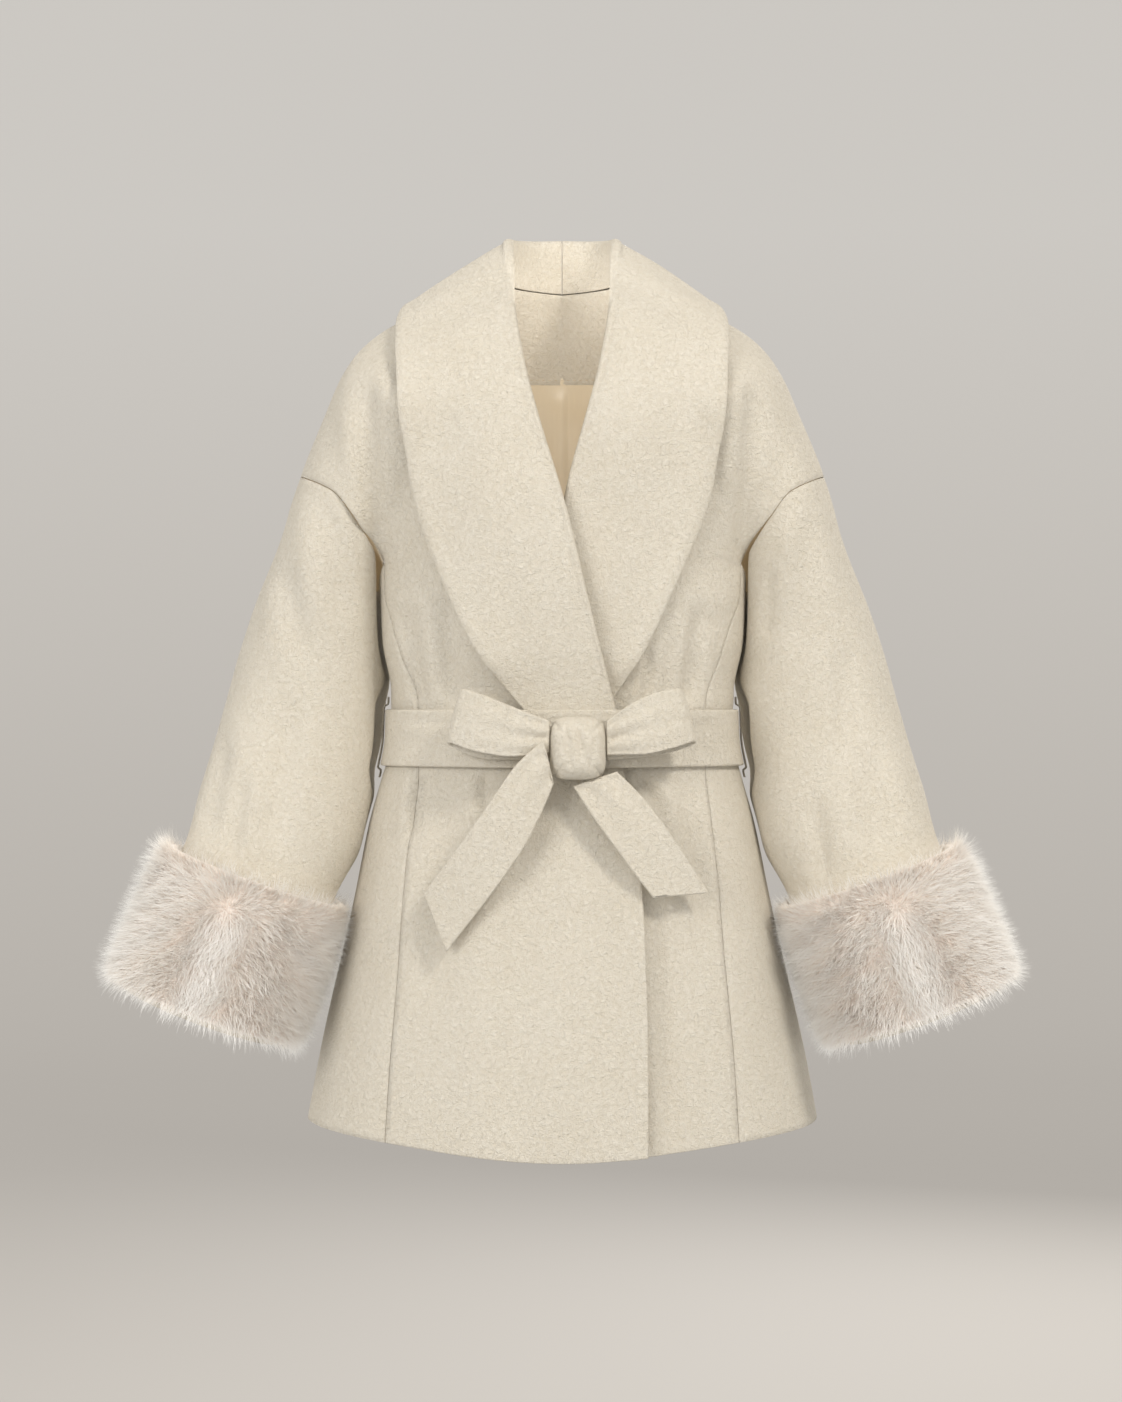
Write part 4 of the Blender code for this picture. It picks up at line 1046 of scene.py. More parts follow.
# %% Collar sections
COLLAR_WALL = 0.0030
COLLAR_SHOULDER = 0.38
COLLAR_ON_CHEST = 0.53
FRONT_SEAM = 0.0014
COLLAR_OVER = [  # way, seam x z, roll x y z, edge x z, facing, roll off, edge off, radius
    (0.00, 0.0000, 0.0300, 0.000, 0.076, 0.081, 0.000, -0.014, 180.0, 0.0, 0.006, 0.0040),
    (0.10, 0.0190, 0.0300, 0.019, 0.072, 0.080, 0.052, -0.014, 165.0, 0.0, 0.006, 0.0040),
    (0.20, 0.0380, 0.0300, 0.036, 0.058, 0.078, 0.104, -0.010, 143.0, 0.0, 0.006, 0.0040),
    (0.30, 0.0515, 0.0300, 0.048, 0.032, 0.075, 0.141, -0.001, 116.0, 0.0, 0.006, 0.0040),
    (0.38, 0.0560, 0.0300, 0.052, 0.000, 0.0715, 0.153, 0.003, 90.0, 0.0, 0.006, 0.0040),
    (0.46, 0.0600, 0.0130, 0.049, -0.036, 0.041, 0.155, -0.022, 52.0, 0.0, 0.006, 0.0040),
    (0.53, 0.0618, -0.0080, 0.046, -0.066, 0.002, 0.153, -0.058, 24.0, 0.010, 0.006, 0.0038),
    (0.61, 0.0532, -0.0640, 0.035, -0.100, -0.062, 0.151, -0.101, 8.0, 0.009, 0.006, 0.0035),
    (0.69, 0.0415, -0.1130, 0.022, -0.110, -0.112, 0.143, -0.146, 0.0, 0.008, 0.006, 0.0035),
    (0.77, 0.0200, -0.1880, -0.001, -0.120, -0.188, 0.131, -0.200, 0.0, 0.008, 0.006, 0.0035),
    (0.85, 0.0000, -0.2590, -0.018, -0.120, -0.258, 0.105, -0.268, 0.0, 0.008, 0.006, 0.0035),
    (0.92, -0.0160, -0.3130, -0.031, -0.120, -0.312, 0.078, -0.325, 0.0, 0.007, 0.006, 0.0030),
    (1.00, -0.0390, -0.3860, -0.050, -0.120, -0.386, 0.030, -0.386, 0.0, 0.0022, 0.0036, 0.0018),
]
COLLAR_UNDER_END = [
    (0.77, 0.0220, -0.1880, 0.003, -0.120, -0.184, 0.131, -0.196, 0.0, 0.0030, 0.0040, 0.0020),
    (0.85, 0.0130, -0.2560, -0.006, -0.120, -0.254, 0.103, -0.264, 0.0, 0.0022, 0.0038, 0.0018),
    (0.92, 0.0095, -0.3130, -0.009, -0.120, -0.312, 0.076, -0.324, 0.0, 0.0022, 0.0036, 0.0018),
    (1.00, 0.0000, -0.3860, -0.014, -0.120, -0.386, 0.036, -0.386, 0.0, 0.0022, 0.0034, 0.0018),
]
COLLAR_UNDER = [row for row in COLLAR_OVER if row[0] < 0.77] + COLLAR_UNDER_END
FULLER_ROLL = 0.3        # how much fuller the roll is down the V
COLLAR_STATIONS = 132
STAND_STEPS = 7
ROLL_STEPS = 9
FALL_STEPS = 34


def stood_off(x, z, back, off, lift):
    """The y of places that stand off the form by off, on top of the front's own lift."""
    if back:
        return form_y(x, z, True) + off
    return form_y(x, z, False) - off - lift(x, z)


def collar_section(table, way, lift, front_edge):
    """Middle of the collar's wall at one station: stand, roll, then the fall to its edge."""
    (seam_x, seam_z, roll_x, roll_y, roll_z, edge_x, edge_z, facing, roll_off, edge_off,
     radius) = [float(read(table, column, way)) for column in range(1, 12)]
    back = way < COLLAR_SHOULDER
    chest = float(ramp(way, 0.44, COLLAR_ON_CHEST))
    seam_x = seam_x * (1.0 - chest) + (float(read(front_edge, 1, seam_z)) - FRONT_SEAM) * chest
    seam_form = float(form_y(seam_x, min(seam_z, TOP_OF_BACK), back))
    lifted = 0.0 if back else float(lift(seam_x, seam_z))
    turned = math.radians(facing)
    out = np.array([math.sin(turned), -math.cos(turned), 0.0])
    seam = np.array([seam_x, seam_form - lifted, seam_z]) - out * COLLAR_WALL * 0.5
    resting = roll_y if back else float(stood_off(roll_x, roll_z, back, roll_off, lift))
    roll = np.array([roll_x, roll_y * (1.0 - chest) + resting * chest, roll_z])
    edge = np.array([edge_x, float(stood_off(edge_x, edge_z, back, edge_off, lift)), edge_z])
    up = unit(roll - seam)
    fuller = float(ramp(way, 0.36, 0.5)) * (1.0 - float(ramp(way, 0.84, 0.92)))
    radius = radius * (1.0 + FULLER_ROLL * fuller)
    centre = roll - up * radius
    stand = np.linspace(0.0, 1.0, STAND_STEPS)[:-1, None]
    arc = np.linspace(-0.5 * math.pi, 0.5 * math.pi, ROLL_STEPS)[:, None]
    rolled = centre + up * radius * np.cos(arc) + out * radius * np.sin(arc)
    risen = seam + (rolled[0] - seam) * stand
    share = np.linspace(0.0, 1.0, FALL_STEPS)[1:]
    fallen = rolled[-1] + (edge - rolled[-1]) * share[:, None]
    fallen = fallen + out * (0.024 * share * (1.0 - share) * (1.0 - chest))[:, None]
    off = roll_off + radius + (edge_off - roll_off - radius) * ramp(share, 0.0, 1.0)
    limit = stood_off(fallen[:, 0], fallen[:, 2], back, np.maximum(off, edge_off), lift)
    best = np.maximum if back else np.minimum
    fallen[:, 1] = best(fallen[:, 1], limit)
    return np.concatenate([risen, rolled, fallen])


def softened(grid, times):
    """The grid with small steps between stations evened out, its edges kept."""
    for _ in range(times):
        inner = grid.copy()
        inner[1:-1] = grid[1:-1] * 0.5 + (grid[:-2] + grid[2:]) * 0.25
        grid = inner
    return grid


# %% Both halves of the collar
COLLAR_FOLDS = [  # x1, z1, x2, z2, width, depth
    (-0.112, -0.096, -0.094, -0.200, 0.0200, 0.0020),
    (0.112, -0.100, 0.092, -0.196, 0.0220, 0.0020),
    (-0.060, -0.230, -0.040, -0.330, 0.0160, 0.0016),
    (0.070, -0.240, 0.044, -0.340, 0.0140, 0.0016),
]
EDGE_PLUMP = 0.0016      # how much thicker the turned outer edge is
EDGE_WIDE = 0.007
EDGE_RAISED = 0.0042     # how far the thick outer edge curls up off the front
EDGE_SPREAD = 0.026
SMOOTH_TIMES = 10


def collar(table, lift, front_edge, right):
    """Half of the shawl collar, from the centre back seam to under the belt."""
    stations = np.linspace(0.0, 1.0, COLLAR_STATIONS)
    middle = np.array([collar_section(table, way, lift, front_edge) for way in stations])
    middle = softened(middle, SMOOTH_TIMES)
    middle[0, :, 0] = SEAM
    outward = normals_of(middle)
    outward[0, :, 0] = 0.0
    outward[0] = unit(outward[0])
    if outward[COLLAR_STATIONS // 2, -FALL_STEPS // 2, 1] > 0.0:
        outward = -outward
    middle, outward = on_the_right([middle, outward], right)
    outer = middle + outward * COLLAR_WALL * 0.5
    away = np.linalg.norm(middle - middle[:, -1:], axis=-1)
    plump = EDGE_PLUMP * np.exp(-((away - EDGE_WIDE) / EDGE_WIDE) ** 2)
    index = np.arange(middle.shape[1])[None, :]
    loose = ramp(index, STAND_STEPS + ROLL_STEPS, STAND_STEPS + ROLL_STEPS + 10)
    under_belt = 1.0 - ramp(stations, 0.93, 0.97)[:, None]
    wave = folds(outer, COLLAR_FOLDS) * ramp(-outward[..., 1], 0.2, 0.7)
    moved = (plump + np.maximum(wave + unevenness(outer, 0.0012, 9), -0.0012)) * under_belt * loose
    thick = COLLAR_WALL + moved
    raised = EDGE_RAISED * np.exp(-(away / EDGE_SPREAD) ** 2) * ramp(stations, 0.30, 0.50)[:, None]
    raised = raised * under_belt * loose
    return outer + outward * (moved + raised)[..., None], outward, thick


for name, table, lift, front_edge, right in (
        ("collar_right", COLLAR_OVER, over_lift, OVER_EDGE, True),
        ("collar_left", COLLAR_UNDER, no_lift, UNDER_EDGE, False)):
    outer, outward, thick = collar(table, lift, front_edge, right)
    roll = np.full(outer.shape[:2], 0.5)
    roll[:, 0] = 0.2
    roll[0] = 0.12
    made = cloth(name, outer, outward, thick, [IVORY_WOOL], roll=roll)
    joins(made, name)

# %% [markdown]
# ## Inside the neck
#
# What shows inside the open collar is a **facing** of the same wool across the back of the neck,
# felled to the lining with small pick stitches, and below it the satin lining with a pleat down
# its middle that gives the back room to move.

# %% Layers inside the back
SATIN_WALL = 0.0010


def inside_back(top_z, bottom_z, top_half, bottom_half, near, pleat):
    """Face of a layer inside the back, with its outward normals."""
    share = np.linspace(0.0, 1.0, 64)[:, None]
    z = top_z + (bottom_z - top_z) * share + np.zeros((1, 76))
    half = top_half + (bottom_half - top_half) * np.minimum(share * 2.0, 1.0)
    x = half * np.linspace(-1.0, 1.0, 76)[None, :]
    outer = points(x, form_y(x, z, True), z)
    outward = facing_out(normals_of(outer), points(0.0 * x, 1.0, 0.0 * z))
    fold = pleat * ramp(x, -0.020, 0.002) * (1.0 - ramp(x, 0.002, 0.0052))
    wave = 0.0004 * np.sin(x * 130.0 + z * 20.0)
    below = ramp(-z, 0.058, 0.070)
    sunk = np.minimum(body_creases(outer), 0.0) - 0.0004
    return outer + outward * (sunk - near - (fold + wave) * below)[..., None], outward


FACING_WALL = 0.0015
FACING_NEAR = 0.0036     # from the outside of the back to the facing
FACING_BOTTOM = -0.0560
FACING_COLUMNS = 12
NECK_RISE = 0.0014       # the facing's seam allowance stands up behind the collar's stand


def facing_grid():
    """Both halves of the facing, on the inside of the back's own surface."""
    outer, outward = body_panel(centre_back, no_lift, True)
    rows = int((outer[:, 0, 2] > FACING_BOTTOM - 0.003).sum())
    outer = outer[:rows, :FACING_COLUMNS]
    outward = outward[:rows, :FACING_COLUMNS].copy()
    outward[0] = outward[1]
    face = outer - outward * FACING_NEAR
    face[0, :, 2] += NECK_RISE
    late = ramp(np.linspace(0.0, 1.0, rows), 0.5, 1.0)[:, None]
    face[..., 2] -= (face[-1, :, 2] - FACING_BOTTOM)[None, :] * late
    face[:, 0, 0] = 0.0
    outward[:, 0, 0] = 0.0
    left, left_out = face, unit(outward)
    right, right_out = on_the_right([left[:, :0:-1], left_out[:, :0:-1]])
    return np.concatenate([right, left], axis=1), np.concatenate([right_out, left_out], axis=1)


face, outward = facing_grid()
facing = cloth("back_neck_facing", face, outward, FACING_WALL, [IVORY_WOOL], roll=0.3)
joins(facing, "back_neck_facing")
FACING_FACE = face - outward * FACING_WALL

face, outward = inside_back(-0.0480, -0.4000, 0.110, 0.120, WOOL + 0.0002, 0.0034)
lining = cloth("lining_back", face, outward, SATIN_WALL, [CREAM_SATIN])
joins(lining, "lining_back")

# %% [markdown]
# Pick stitches repeat along a line, so Geometry Nodes makes them. The line lies on the facing's
# surface just above its lower edge; the tree resamples it, puts one short thread on every point,
# turned along the line, and realizes the result.

# %% Geometry Nodes helpers
def tree_with(name, inputs):
    """A geometry tree with a geometry input, named inputs, and its in and out nodes."""
    tree = bpy.data.node_groups.new(name, "GeometryNodeTree")
    tree.interface.new_socket("Geometry", in_out="INPUT", socket_type="NodeSocketGeometry")
    tree.interface.new_socket("Geometry", in_out="OUTPUT", socket_type="NodeSocketGeometry")
    for label, (kind, value) in inputs.items():
        socket = tree.interface.new_socket(label, in_out="INPUT", socket_type="NodeSocket" + kind)
        if value is not None:
            socket.default_value = value
    return tree, tree.nodes.new("NodeGroupInput"), tree.nodes.new("NodeGroupOutput")


def grown(base, tree, values, name):
    """Runs a tree on an object and keeps the result as a plain mesh object."""
    modifier = base.modifiers.new(name, "NODES")
    modifier.node_group = tree
    names = {item.name: item.identifier for item in tree.interface.items_tree
             if item.item_type == "SOCKET" and item.in_out == "INPUT"}
    for label, value in values.items():
        modifier[names[label]] = value
    bpy.context.view_layer.update()
    evaluated = base.evaluated_get(bpy.context.evaluated_depsgraph_get())
    mesh = bpy.data.meshes.new_from_object(evaluated)
    base.modifiers.remove(modifier)
    mesh.name = name
    return linked(name, mesh)


# %% Silk thread
def silk_thread(name):
    """Twisted silk hand-sewing thread: smooth, a little brighter than the wool."""
    made, tree, shader = blank(name, {"Roughness": 0.5})
    place = node(tree, "ShaderNodeTexCoord").outputs["Object"]
    twist = node(tree, "ShaderNodeTexNoise", values={"Scale": 2500.0}, links={"Vector": place})
    colour = graded(tree, twist.outputs["Fac"], [(0.3, "#CDB894"), (0.7, "#EFE3CB")])
    tree.links.new(colour, shader.inputs["Base Color"])
    return made


THREAD = silk_thread("twisted silk thread")


def stitch_tree():
    """Short threads set along a line."""
    tree, start, end = tree_with("pick stitches", {
        "Spacing": ("Float", 0.006), "Length": ("Float", 0.0028), "Thread": ("Float", 0.0004),
        "Material": ("Material", None)})
    line = node(tree, "GeometryNodeMeshToCurve", links={"Mesh": start.outputs["Geometry"]})
    spread = node(tree, "GeometryNodeResampleCurve", {"mode": "LENGTH"},
                  links={"Curve": line.outputs["Curve"], "Length": start.outputs["Spacing"]})
    tangent = node(tree, "GeometryNodeInputTangent")
    turn = node(tree, "FunctionNodeAlignRotationToVector", {"axis": "Z"},
                links={"Vector": tangent.outputs["Tangent"]})
    thread = node(tree, "GeometryNodeMeshUVSphere", values={"Segments": 8, "Rings": 6},
                  links={"Radius": start.outputs["Thread"]})
    ratio = node(tree, "ShaderNodeMath", {"operation": "DIVIDE"},
                 links={0: start.outputs["Length"], 1: start.outputs["Thread"]})
    half = node(tree, "ShaderNodeMath", {"operation": "MULTIPLY"}, {1: 0.5},
                {0: ratio.outputs["Value"]})
    size = node(tree, "ShaderNodeCombineXYZ", values={"X": 1.0, "Y": 1.0},
                links={"Z": half.outputs["Value"]})
    placed = node(tree, "GeometryNodeInstanceOnPoints",
                  links={"Points": spread.outputs["Curve"], "Instance": thread.outputs["Mesh"],
                         "Rotation": turn.outputs["Rotation"], "Scale": size.outputs["Vector"]})
    real = node(tree, "GeometryNodeRealizeInstances",
                links={"Geometry": placed.outputs["Instances"]})
    done = node(tree, "GeometryNodeSetMaterial", links={"Geometry": real.outputs["Geometry"],
                                                        "Material": start.outputs["Material"]})
    tree.links.new(done.outputs["Geometry"], end.inputs["Geometry"])
    return tree


def polyline(name, places):
    """An object that is one line through places."""
    mesh = bpy.data.meshes.new(name)
    edges = [(i, i + 1) for i in range(len(places) - 1)]
    mesh.from_pydata([tuple(map(float, place)) for place in places], edges, [])
    return linked(name, mesh)


# %% Pick stitches of the facing
STITCH_ROW = 2           # rows of the facing's grid above its lower edge
line = polyline("stitch line", FACING_FACE[-STITCH_ROW, 1:-1] + np.array([0.0, -0.0002, 0.0]))
stitches = grown(line, stitch_tree(), {"Spacing": 0.0062, "Length": 0.0030, "Thread": 0.00035,
                                       "Material": THREAD}, "pick_stitches")
bpy.data.objects.remove(line, do_unlink=True)
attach(stitches, "root")
print("pick stitches:", triangles(stitches), "triangles")

# %% [markdown]
# ## Belt and bow
#
# The belt is a long double strip of the same wool, sewn as a tube and pressed. It lies round the
# waist, is tied in a bow at the wearer's left of the middle, and its two ends hang with a slanted
# cut. Near the knot the strip is squeezed, so small gathers run into it and fade along the loops.
# Each length is a strip between its two edge lines, read from a table.

# %% Belt band
BELT_WALL = 0.0030
BELT_TURNS = 260
BELT_ROWS = 15
BELT_BEHIND = 0.0020     # how far the belt stands off the form behind
BELT_STAND = [  # x, how far the belt's inside stands off the form
    (-0.165, 0.0020),
    (-0.140, 0.0022),
    (-0.115, 0.0044),
    (-0.090, 0.0095),
    (-0.045, 0.0180),
    (0.050, 0.0180),
    (0.090, 0.0050),
    (0.115, 0.0022),
    (0.165, 0.0020),
]
BELT_FOLDS = [
    (-0.150, -0.388, -0.060, -0.398, 0.0050, 0.0012),
    (-0.120, -0.416, -0.030, -0.410, 0.0050, 0.0012),
    (0.150, -0.392, 0.070, -0.400, 0.0050, 0.0012),
    (0.140, -0.418, 0.060, -0.412, 0.0045, 0.0010),
]


def belt_grid():
    """Outer face of the belt round the waist."""
    theta = np.linspace(-math.pi, math.pi, BELT_TURNS, endpoint=False)
    rows = []
    for share in np.linspace(0.0, 1.0, BELT_ROWS):
        z = BELT_TOP + (BELT_BOTTOM - BELT_TOP) * share
        x = around_body(theta, z)[..., 0]
        stand = np.where(np.cos(theta) > 0.0, read(BELT_STAND, 1, x), BELT_BEHIND)
        place = around_body(theta, z)
        reach = np.linalg.norm(place[:, :2], axis=-1, keepdims=True)
        place[:, :2] *= (reach + (stand + BELT_WALL)[:, None]) / reach
        rows.append(place)
    return np.array(rows)


outer = belt_grid()
outward = outward_of_tube(outer)
moved = folds(outer, BELT_FOLDS) * ramp(-outer[..., 1], 0.0, 0.05) + unevenness(outer, 0.0008, 3)
moved = np.maximum(moved + 0.0004, -0.0012)
belt = cloth("belt_band", outer + outward * moved[..., None], outward, BELT_WALL + moved,
             [IVORY_WOOL], around=True)
joins(belt, "belt_band")

# %% Belt carriers
CARRIER_PATH = [  # z, stand of its middle off the form
    (-0.3670, 0.0026),
    (-0.3730, 0.0026),
    (-0.3765, 0.0069),
    (-0.4345, 0.0069),
    (-0.4380, 0.0030),
    (-0.4440, 0.0030),
]
CARRIER_WALL = 0.0015
CARRIER_HALF = 0.0050
CARRIER_ROWS = 48
CARRIER_COLUMNS = 9


def carrier_grid():
    """Outer face of a carrier at the side of the waist."""
    rows = []
    for z in np.linspace(CARRIER_PATH[0][0], CARRIER_PATH[-1][0], CARRIER_ROWS):
        reach = float(read(BODY, 1, z)) + float(read(CARRIER_PATH, 1, z)) + 0.5 * CARRIER_WALL
        across = np.linspace(-CARRIER_HALF, CARRIER_HALF, CARRIER_COLUMNS)
        rows.append([[reach, y, z] for y in across])
    outer = np.array(rows)
    return outer, facing_out(normals_of(outer), np.array([1.0, 0.0, 0.0]))


for side, right in SIDES:
    outer, outward = on_the_right(carrier_grid(), right)
    made = cloth("belt_loop_" + side, outer, outward, CARRIER_WALL, [IVORY_WOOL])
    joins(made, "belt_loop_" + side)

# %% Strips of the bow
BOW_RIGHT = [  # x_top, z_top, x_bottom, z_bottom, y
    (-0.0116, -0.3890, -0.0116, -0.4180, -0.1510),
    (-0.0400, -0.3780, -0.0450, -0.4215, -0.1570),
    (-0.0700, -0.3660, -0.0780, -0.4170, -0.1530),
    (-0.0890, -0.3600, -0.1010, -0.4095, -0.1410),
    (-0.0915, -0.3612, -0.1040, -0.4105, -0.1345),
    (-0.0880, -0.3640, -0.1000, -0.4135, -0.1285),
    (-0.0600, -0.3720, -0.0660, -0.4245, -0.1355),
    (-0.0116, -0.3920, -0.0116, -0.4250, -0.1390),
]
BOW_LEFT = [
    (0.0406, -0.3890, 0.0406, -0.4200, -0.1510),
    (0.0620, -0.3740, 0.0720, -0.4195, -0.1570),
    (0.0880, -0.3625, 0.1000, -0.4140, -0.1520),
    (0.1060, -0.3595, 0.1190, -0.4085, -0.1390),
    (0.1085, -0.3612, 0.1215, -0.4097, -0.1325),
    (0.1040, -0.3640, 0.1170, -0.4125, -0.1265),
    (0.0750, -0.3700, 0.0840, -0.4215, -0.1290),
    (0.0406, -0.3920, 0.0406, -0.4250, -0.1390),
]
TAIL_RIGHT = [  # x, z and y of the outer edge, x, z and y of the inner edge
    (-0.0165, -0.4060, -0.1605, -0.0075, -0.4455, -0.1600),
    (-0.0400, -0.4270, -0.1620, -0.0120, -0.4570, -0.1610),
    (-0.0700, -0.4690, -0.1590, -0.0300, -0.4960, -0.1610),
    (-0.0980, -0.5080, -0.1500, -0.0560, -0.5350, -0.1580),
    (-0.1260, -0.5465, -0.1340, -0.1050, -0.5995, -0.1440),
]
TAIL_LEFT = [
    (0.0100, -0.4485, -0.1480, 0.0500, -0.4350, -0.1480),
    (0.0256, -0.4730, -0.1520, 0.0720, -0.4570, -0.1500),
    (0.0480, -0.5040, -0.1540, 0.0920, -0.4820, -0.1480),
    (0.0680, -0.5310, -0.1530, 0.1110, -0.5100, -0.1420),
    (0.0830, -0.5500, -0.1510, 0.1340, -0.5465, -0.1330),
]


def edge_line(rows, picks, count):
    """One edge of a strip as a smooth line through its table."""
    at = np.linspace(0.0, len(rows) - 1.0, count)
    table = [(i, *row) for i, row in enumerate(rows)]
    return np.stack([read(table, 1 + pick, at) for pick in picks], axis=-1)


GATHER_FADE = 0.034      # how far gathers run out from the knot
GATHER_START = 0.006
GATHER_SHIFT = 0.18
STRIP_SWELL = 0.0010     # the pressed strip is a little fuller along its middle
LOOP_STEPS = 110
TAIL_STEPS = 80


def strip(name, start, end, gathers, depth, both_ends, across=18):
    """Double strip of cloth between two edge lines, gathered towards the knot."""
    share = np.linspace(0.0, 1.0, across)[None, :, None]
    middle = start[:, None] * (1.0 - share) + end[:, None] * share
    outward = normals_of(middle)
    if outward[2, across // 2, 1] > 0.0:
        outward = -outward
    gone = np.concatenate([[0.0], np.cumsum(np.linalg.norm(np.diff(start, axis=0), axis=-1))])
    near = np.minimum(gone, gone[-1] - gone) if both_ends else gone
    u = share[..., 0]
    squeeze = np.exp(-near / GATHER_FADE)[:, None] * ramp(near, 0.0, GATHER_START)[:, None]
    wave = depth * np.cos(2.0 * math.pi * (gathers * u + GATHER_SHIFT)) * np.sin(math.pi * u) ** 0.5
    swell = STRIP_SWELL * np.sin(math.pi * u)
    moved = wave * squeeze + swell + unevenness(middle, 0.0006, 11)
    middle = middle + outward * moved[..., None]
    outward = normals_of(middle) * np.sign((normals_of(middle) * outward).sum(-1, keepdims=True))
    return cloth(name, middle + outward * BELT_WALL * 0.5, outward, BELT_WALL, [IVORY_WOOL])


for side, rows in (("right", BOW_RIGHT), ("left", BOW_LEFT)):
    made = strip("bow_loop_" + side, edge_line(rows, (0, 4, 1), LOOP_STEPS),
                 edge_line(rows, (2, 4, 3), LOOP_STEPS), 2.4, 0.0026, True)
    joins(made, "bow_loop_" + side)

for side, rows in (("right", TAIL_RIGHT), ("left", TAIL_LEFT)):
    made = strip("tail_" + side, edge_line(rows, (0, 2, 1), TAIL_STEPS),
                 edge_line(rows, (3, 5, 4), TAIL_STEPS), 1.6, 0.0028, False)
    joins(made, "tail_" + side)

# %% Knot
KNOT_CENTRE = (0.0145, -0.4143)
KNOT_HALF = (0.0257, 0.0287)
KNOT_BACK = -0.1372
KNOT_EDGE = -0.1440
KNOT_FRONT = -0.1665
KNOT_SIDE = 44           # points along each side of its face
KNOT_FOLDS = [  # depth, middle, lean, width, and where it fades in down the face
    (0.0030, 0.10, 0.20, 0.13, 0.7, -0.3),
    (0.0024, -0.38, 0.12, 0.12, 0.9, -0.1),
    (0.0018, 0.55, -0.10, 0.12, -0.6, 0.5),
]


def knot():
    """Full turn of the belt drawn tight, with two folds running down from its top."""
    side = np.linspace(-1.0, 1.0, KNOT_SIDE)
    u, v = np.meshgrid(side, side)
    larger = np.maximum(np.maximum(np.abs(u), np.abs(v)), 1e-6)
    round_off = np.maximum((np.abs(u) ** 4 + np.abs(v) ** 4) ** 0.25, 1e-6) / larger
    x = KNOT_CENTRE[0] + KNOT_HALF[0] * u / round_off
    z = KNOT_CENTRE[1] - KNOT_HALF[1] * v / round_off
    full = np.sqrt((1.0 - u ** 4) * (1.0 - v ** 4))
    outer = points(x, KNOT_EDGE + (KNOT_FRONT - KNOT_EDGE) * full, z)
    for depth, middle, lean, width, start, end in KNOT_FOLDS:
        line = np.exp(-((u - middle - lean * v) / width) ** 2) * ramp(v, start, end)
        outer[..., 1] += depth * line * full
    outward = np.zeros(outer.shape)
    outward[..., 1] = -1.0
    return outer, outward, KNOT_BACK - outer[..., 1]


outer, outward, thick = knot()
made = cloth("bow_knot", outer, outward, thick, [IVORY_WOOL])
joins(made, "bow_knot")

# %% [markdown]
# ## Fur cuffs
#
# The turned-back cuffs are **long-haired fur on its pelt**, sewn as a ring over the sleeve's end.
# A dense under-fur lies low and a thinner coat of long guard hairs stands over it, combed out and
# down from the upper middle of the cuff, falling into loose locks. The pelt is a padded ring, and
# hair is thousands of tapered blades that Geometry Nodes sets on it: a comb direction is stored on
# the pelt as an attribute, so the locks are decided once and both coats follow them. A hair system
# would look alike but would be lost on export.

# %% Pelt ring
FUR_REACH = 0.0320
PELT_SHARE = 0.46        # the padded pelt's height as a share of the fur's reach
PELT_CLEAR = 0.0022
CUFF_PROFILE = [  # along the cuff 0 to 1, reach as a share of the fur's
    (0.000, 0.30),
    (0.030, 0.70),
    (0.140, 0.93),
    (0.320, 1.00),
    (0.680, 1.00),
    (0.860, 0.93),
    (0.970, 0.70),
    (1.000, 0.30),
]
CUFF_INSET = 0.060       # the pelt stops this share short at both ends, and hair covers the rest
END_FLARE = 0.9          # how much the hair at both ends stands outwards along the sleeve
PELT_TURNS = 84
PELT_RINGS = 30


def pelt():
    """Outer and inner faces of the closed padded ring."""
    turn = round_turns(PELT_TURNS)
    outer = []
    inner = []
    for share in np.linspace(CUFF_INSET, 1.0 - CUFF_INSET, PELT_RINGS):
        way = CUFF_TOP + (CUFF_END - CUFF_TOP) * share
        reach = FUR_REACH * PELT_SHARE * float(read(CUFF_PROFILE, 1, share))
        outer.append(clear_of_body(sleeve_point(way, turn, reach), SLEEVE_CLEAR + 0.004))
        near = sleeve_point(way, turn, PELT_CLEAR)
        inner.append(clear_of_body(near, SLEEVE_CLEAR + PELT_CLEAR))
    return np.array(outer), np.array(inner)


TONE_SHARE = 0.30        # how far hairs differ from each other, as a share of root to tip


def fur_material(name, root, middle, tip, rough):
    """Hair of a pale fur: darker and warmer at the root, and each hair its own tone."""
    made, tree, shader = blank(name, {
        "Roughness": rough, "Specular IOR Level": 0.35, "Sheen Weight": 0.25})
    along = node(tree, "ShaderNodeAttribute", {"attribute_name": "along"}).outputs["Fac"]
    tone = node(tree, "ShaderNodeAttribute", {"attribute_name": "tone"}).outputs["Fac"]
    varied = node(tree, "ShaderNodeMath", {"operation": "MULTIPLY_ADD"}, {1: TONE_SHARE},
                  {0: tone, 2: along})
    colour = graded(tree, varied.outputs["Value"], [(0.08, root), (0.42, middle), (0.95, tip)])
    tree.links.new(colour, shader.inputs["Base Color"])
    return made


UNDER_FUR = fur_material("dense under-fur", "#F1E0D4", "#FAF3EB", "#FFFCF7", 0.75)
GUARD_HAIR = fur_material("long guard hair", "#F4E6DB", "#FCF6EF", "#FFFEFB", 0.5)


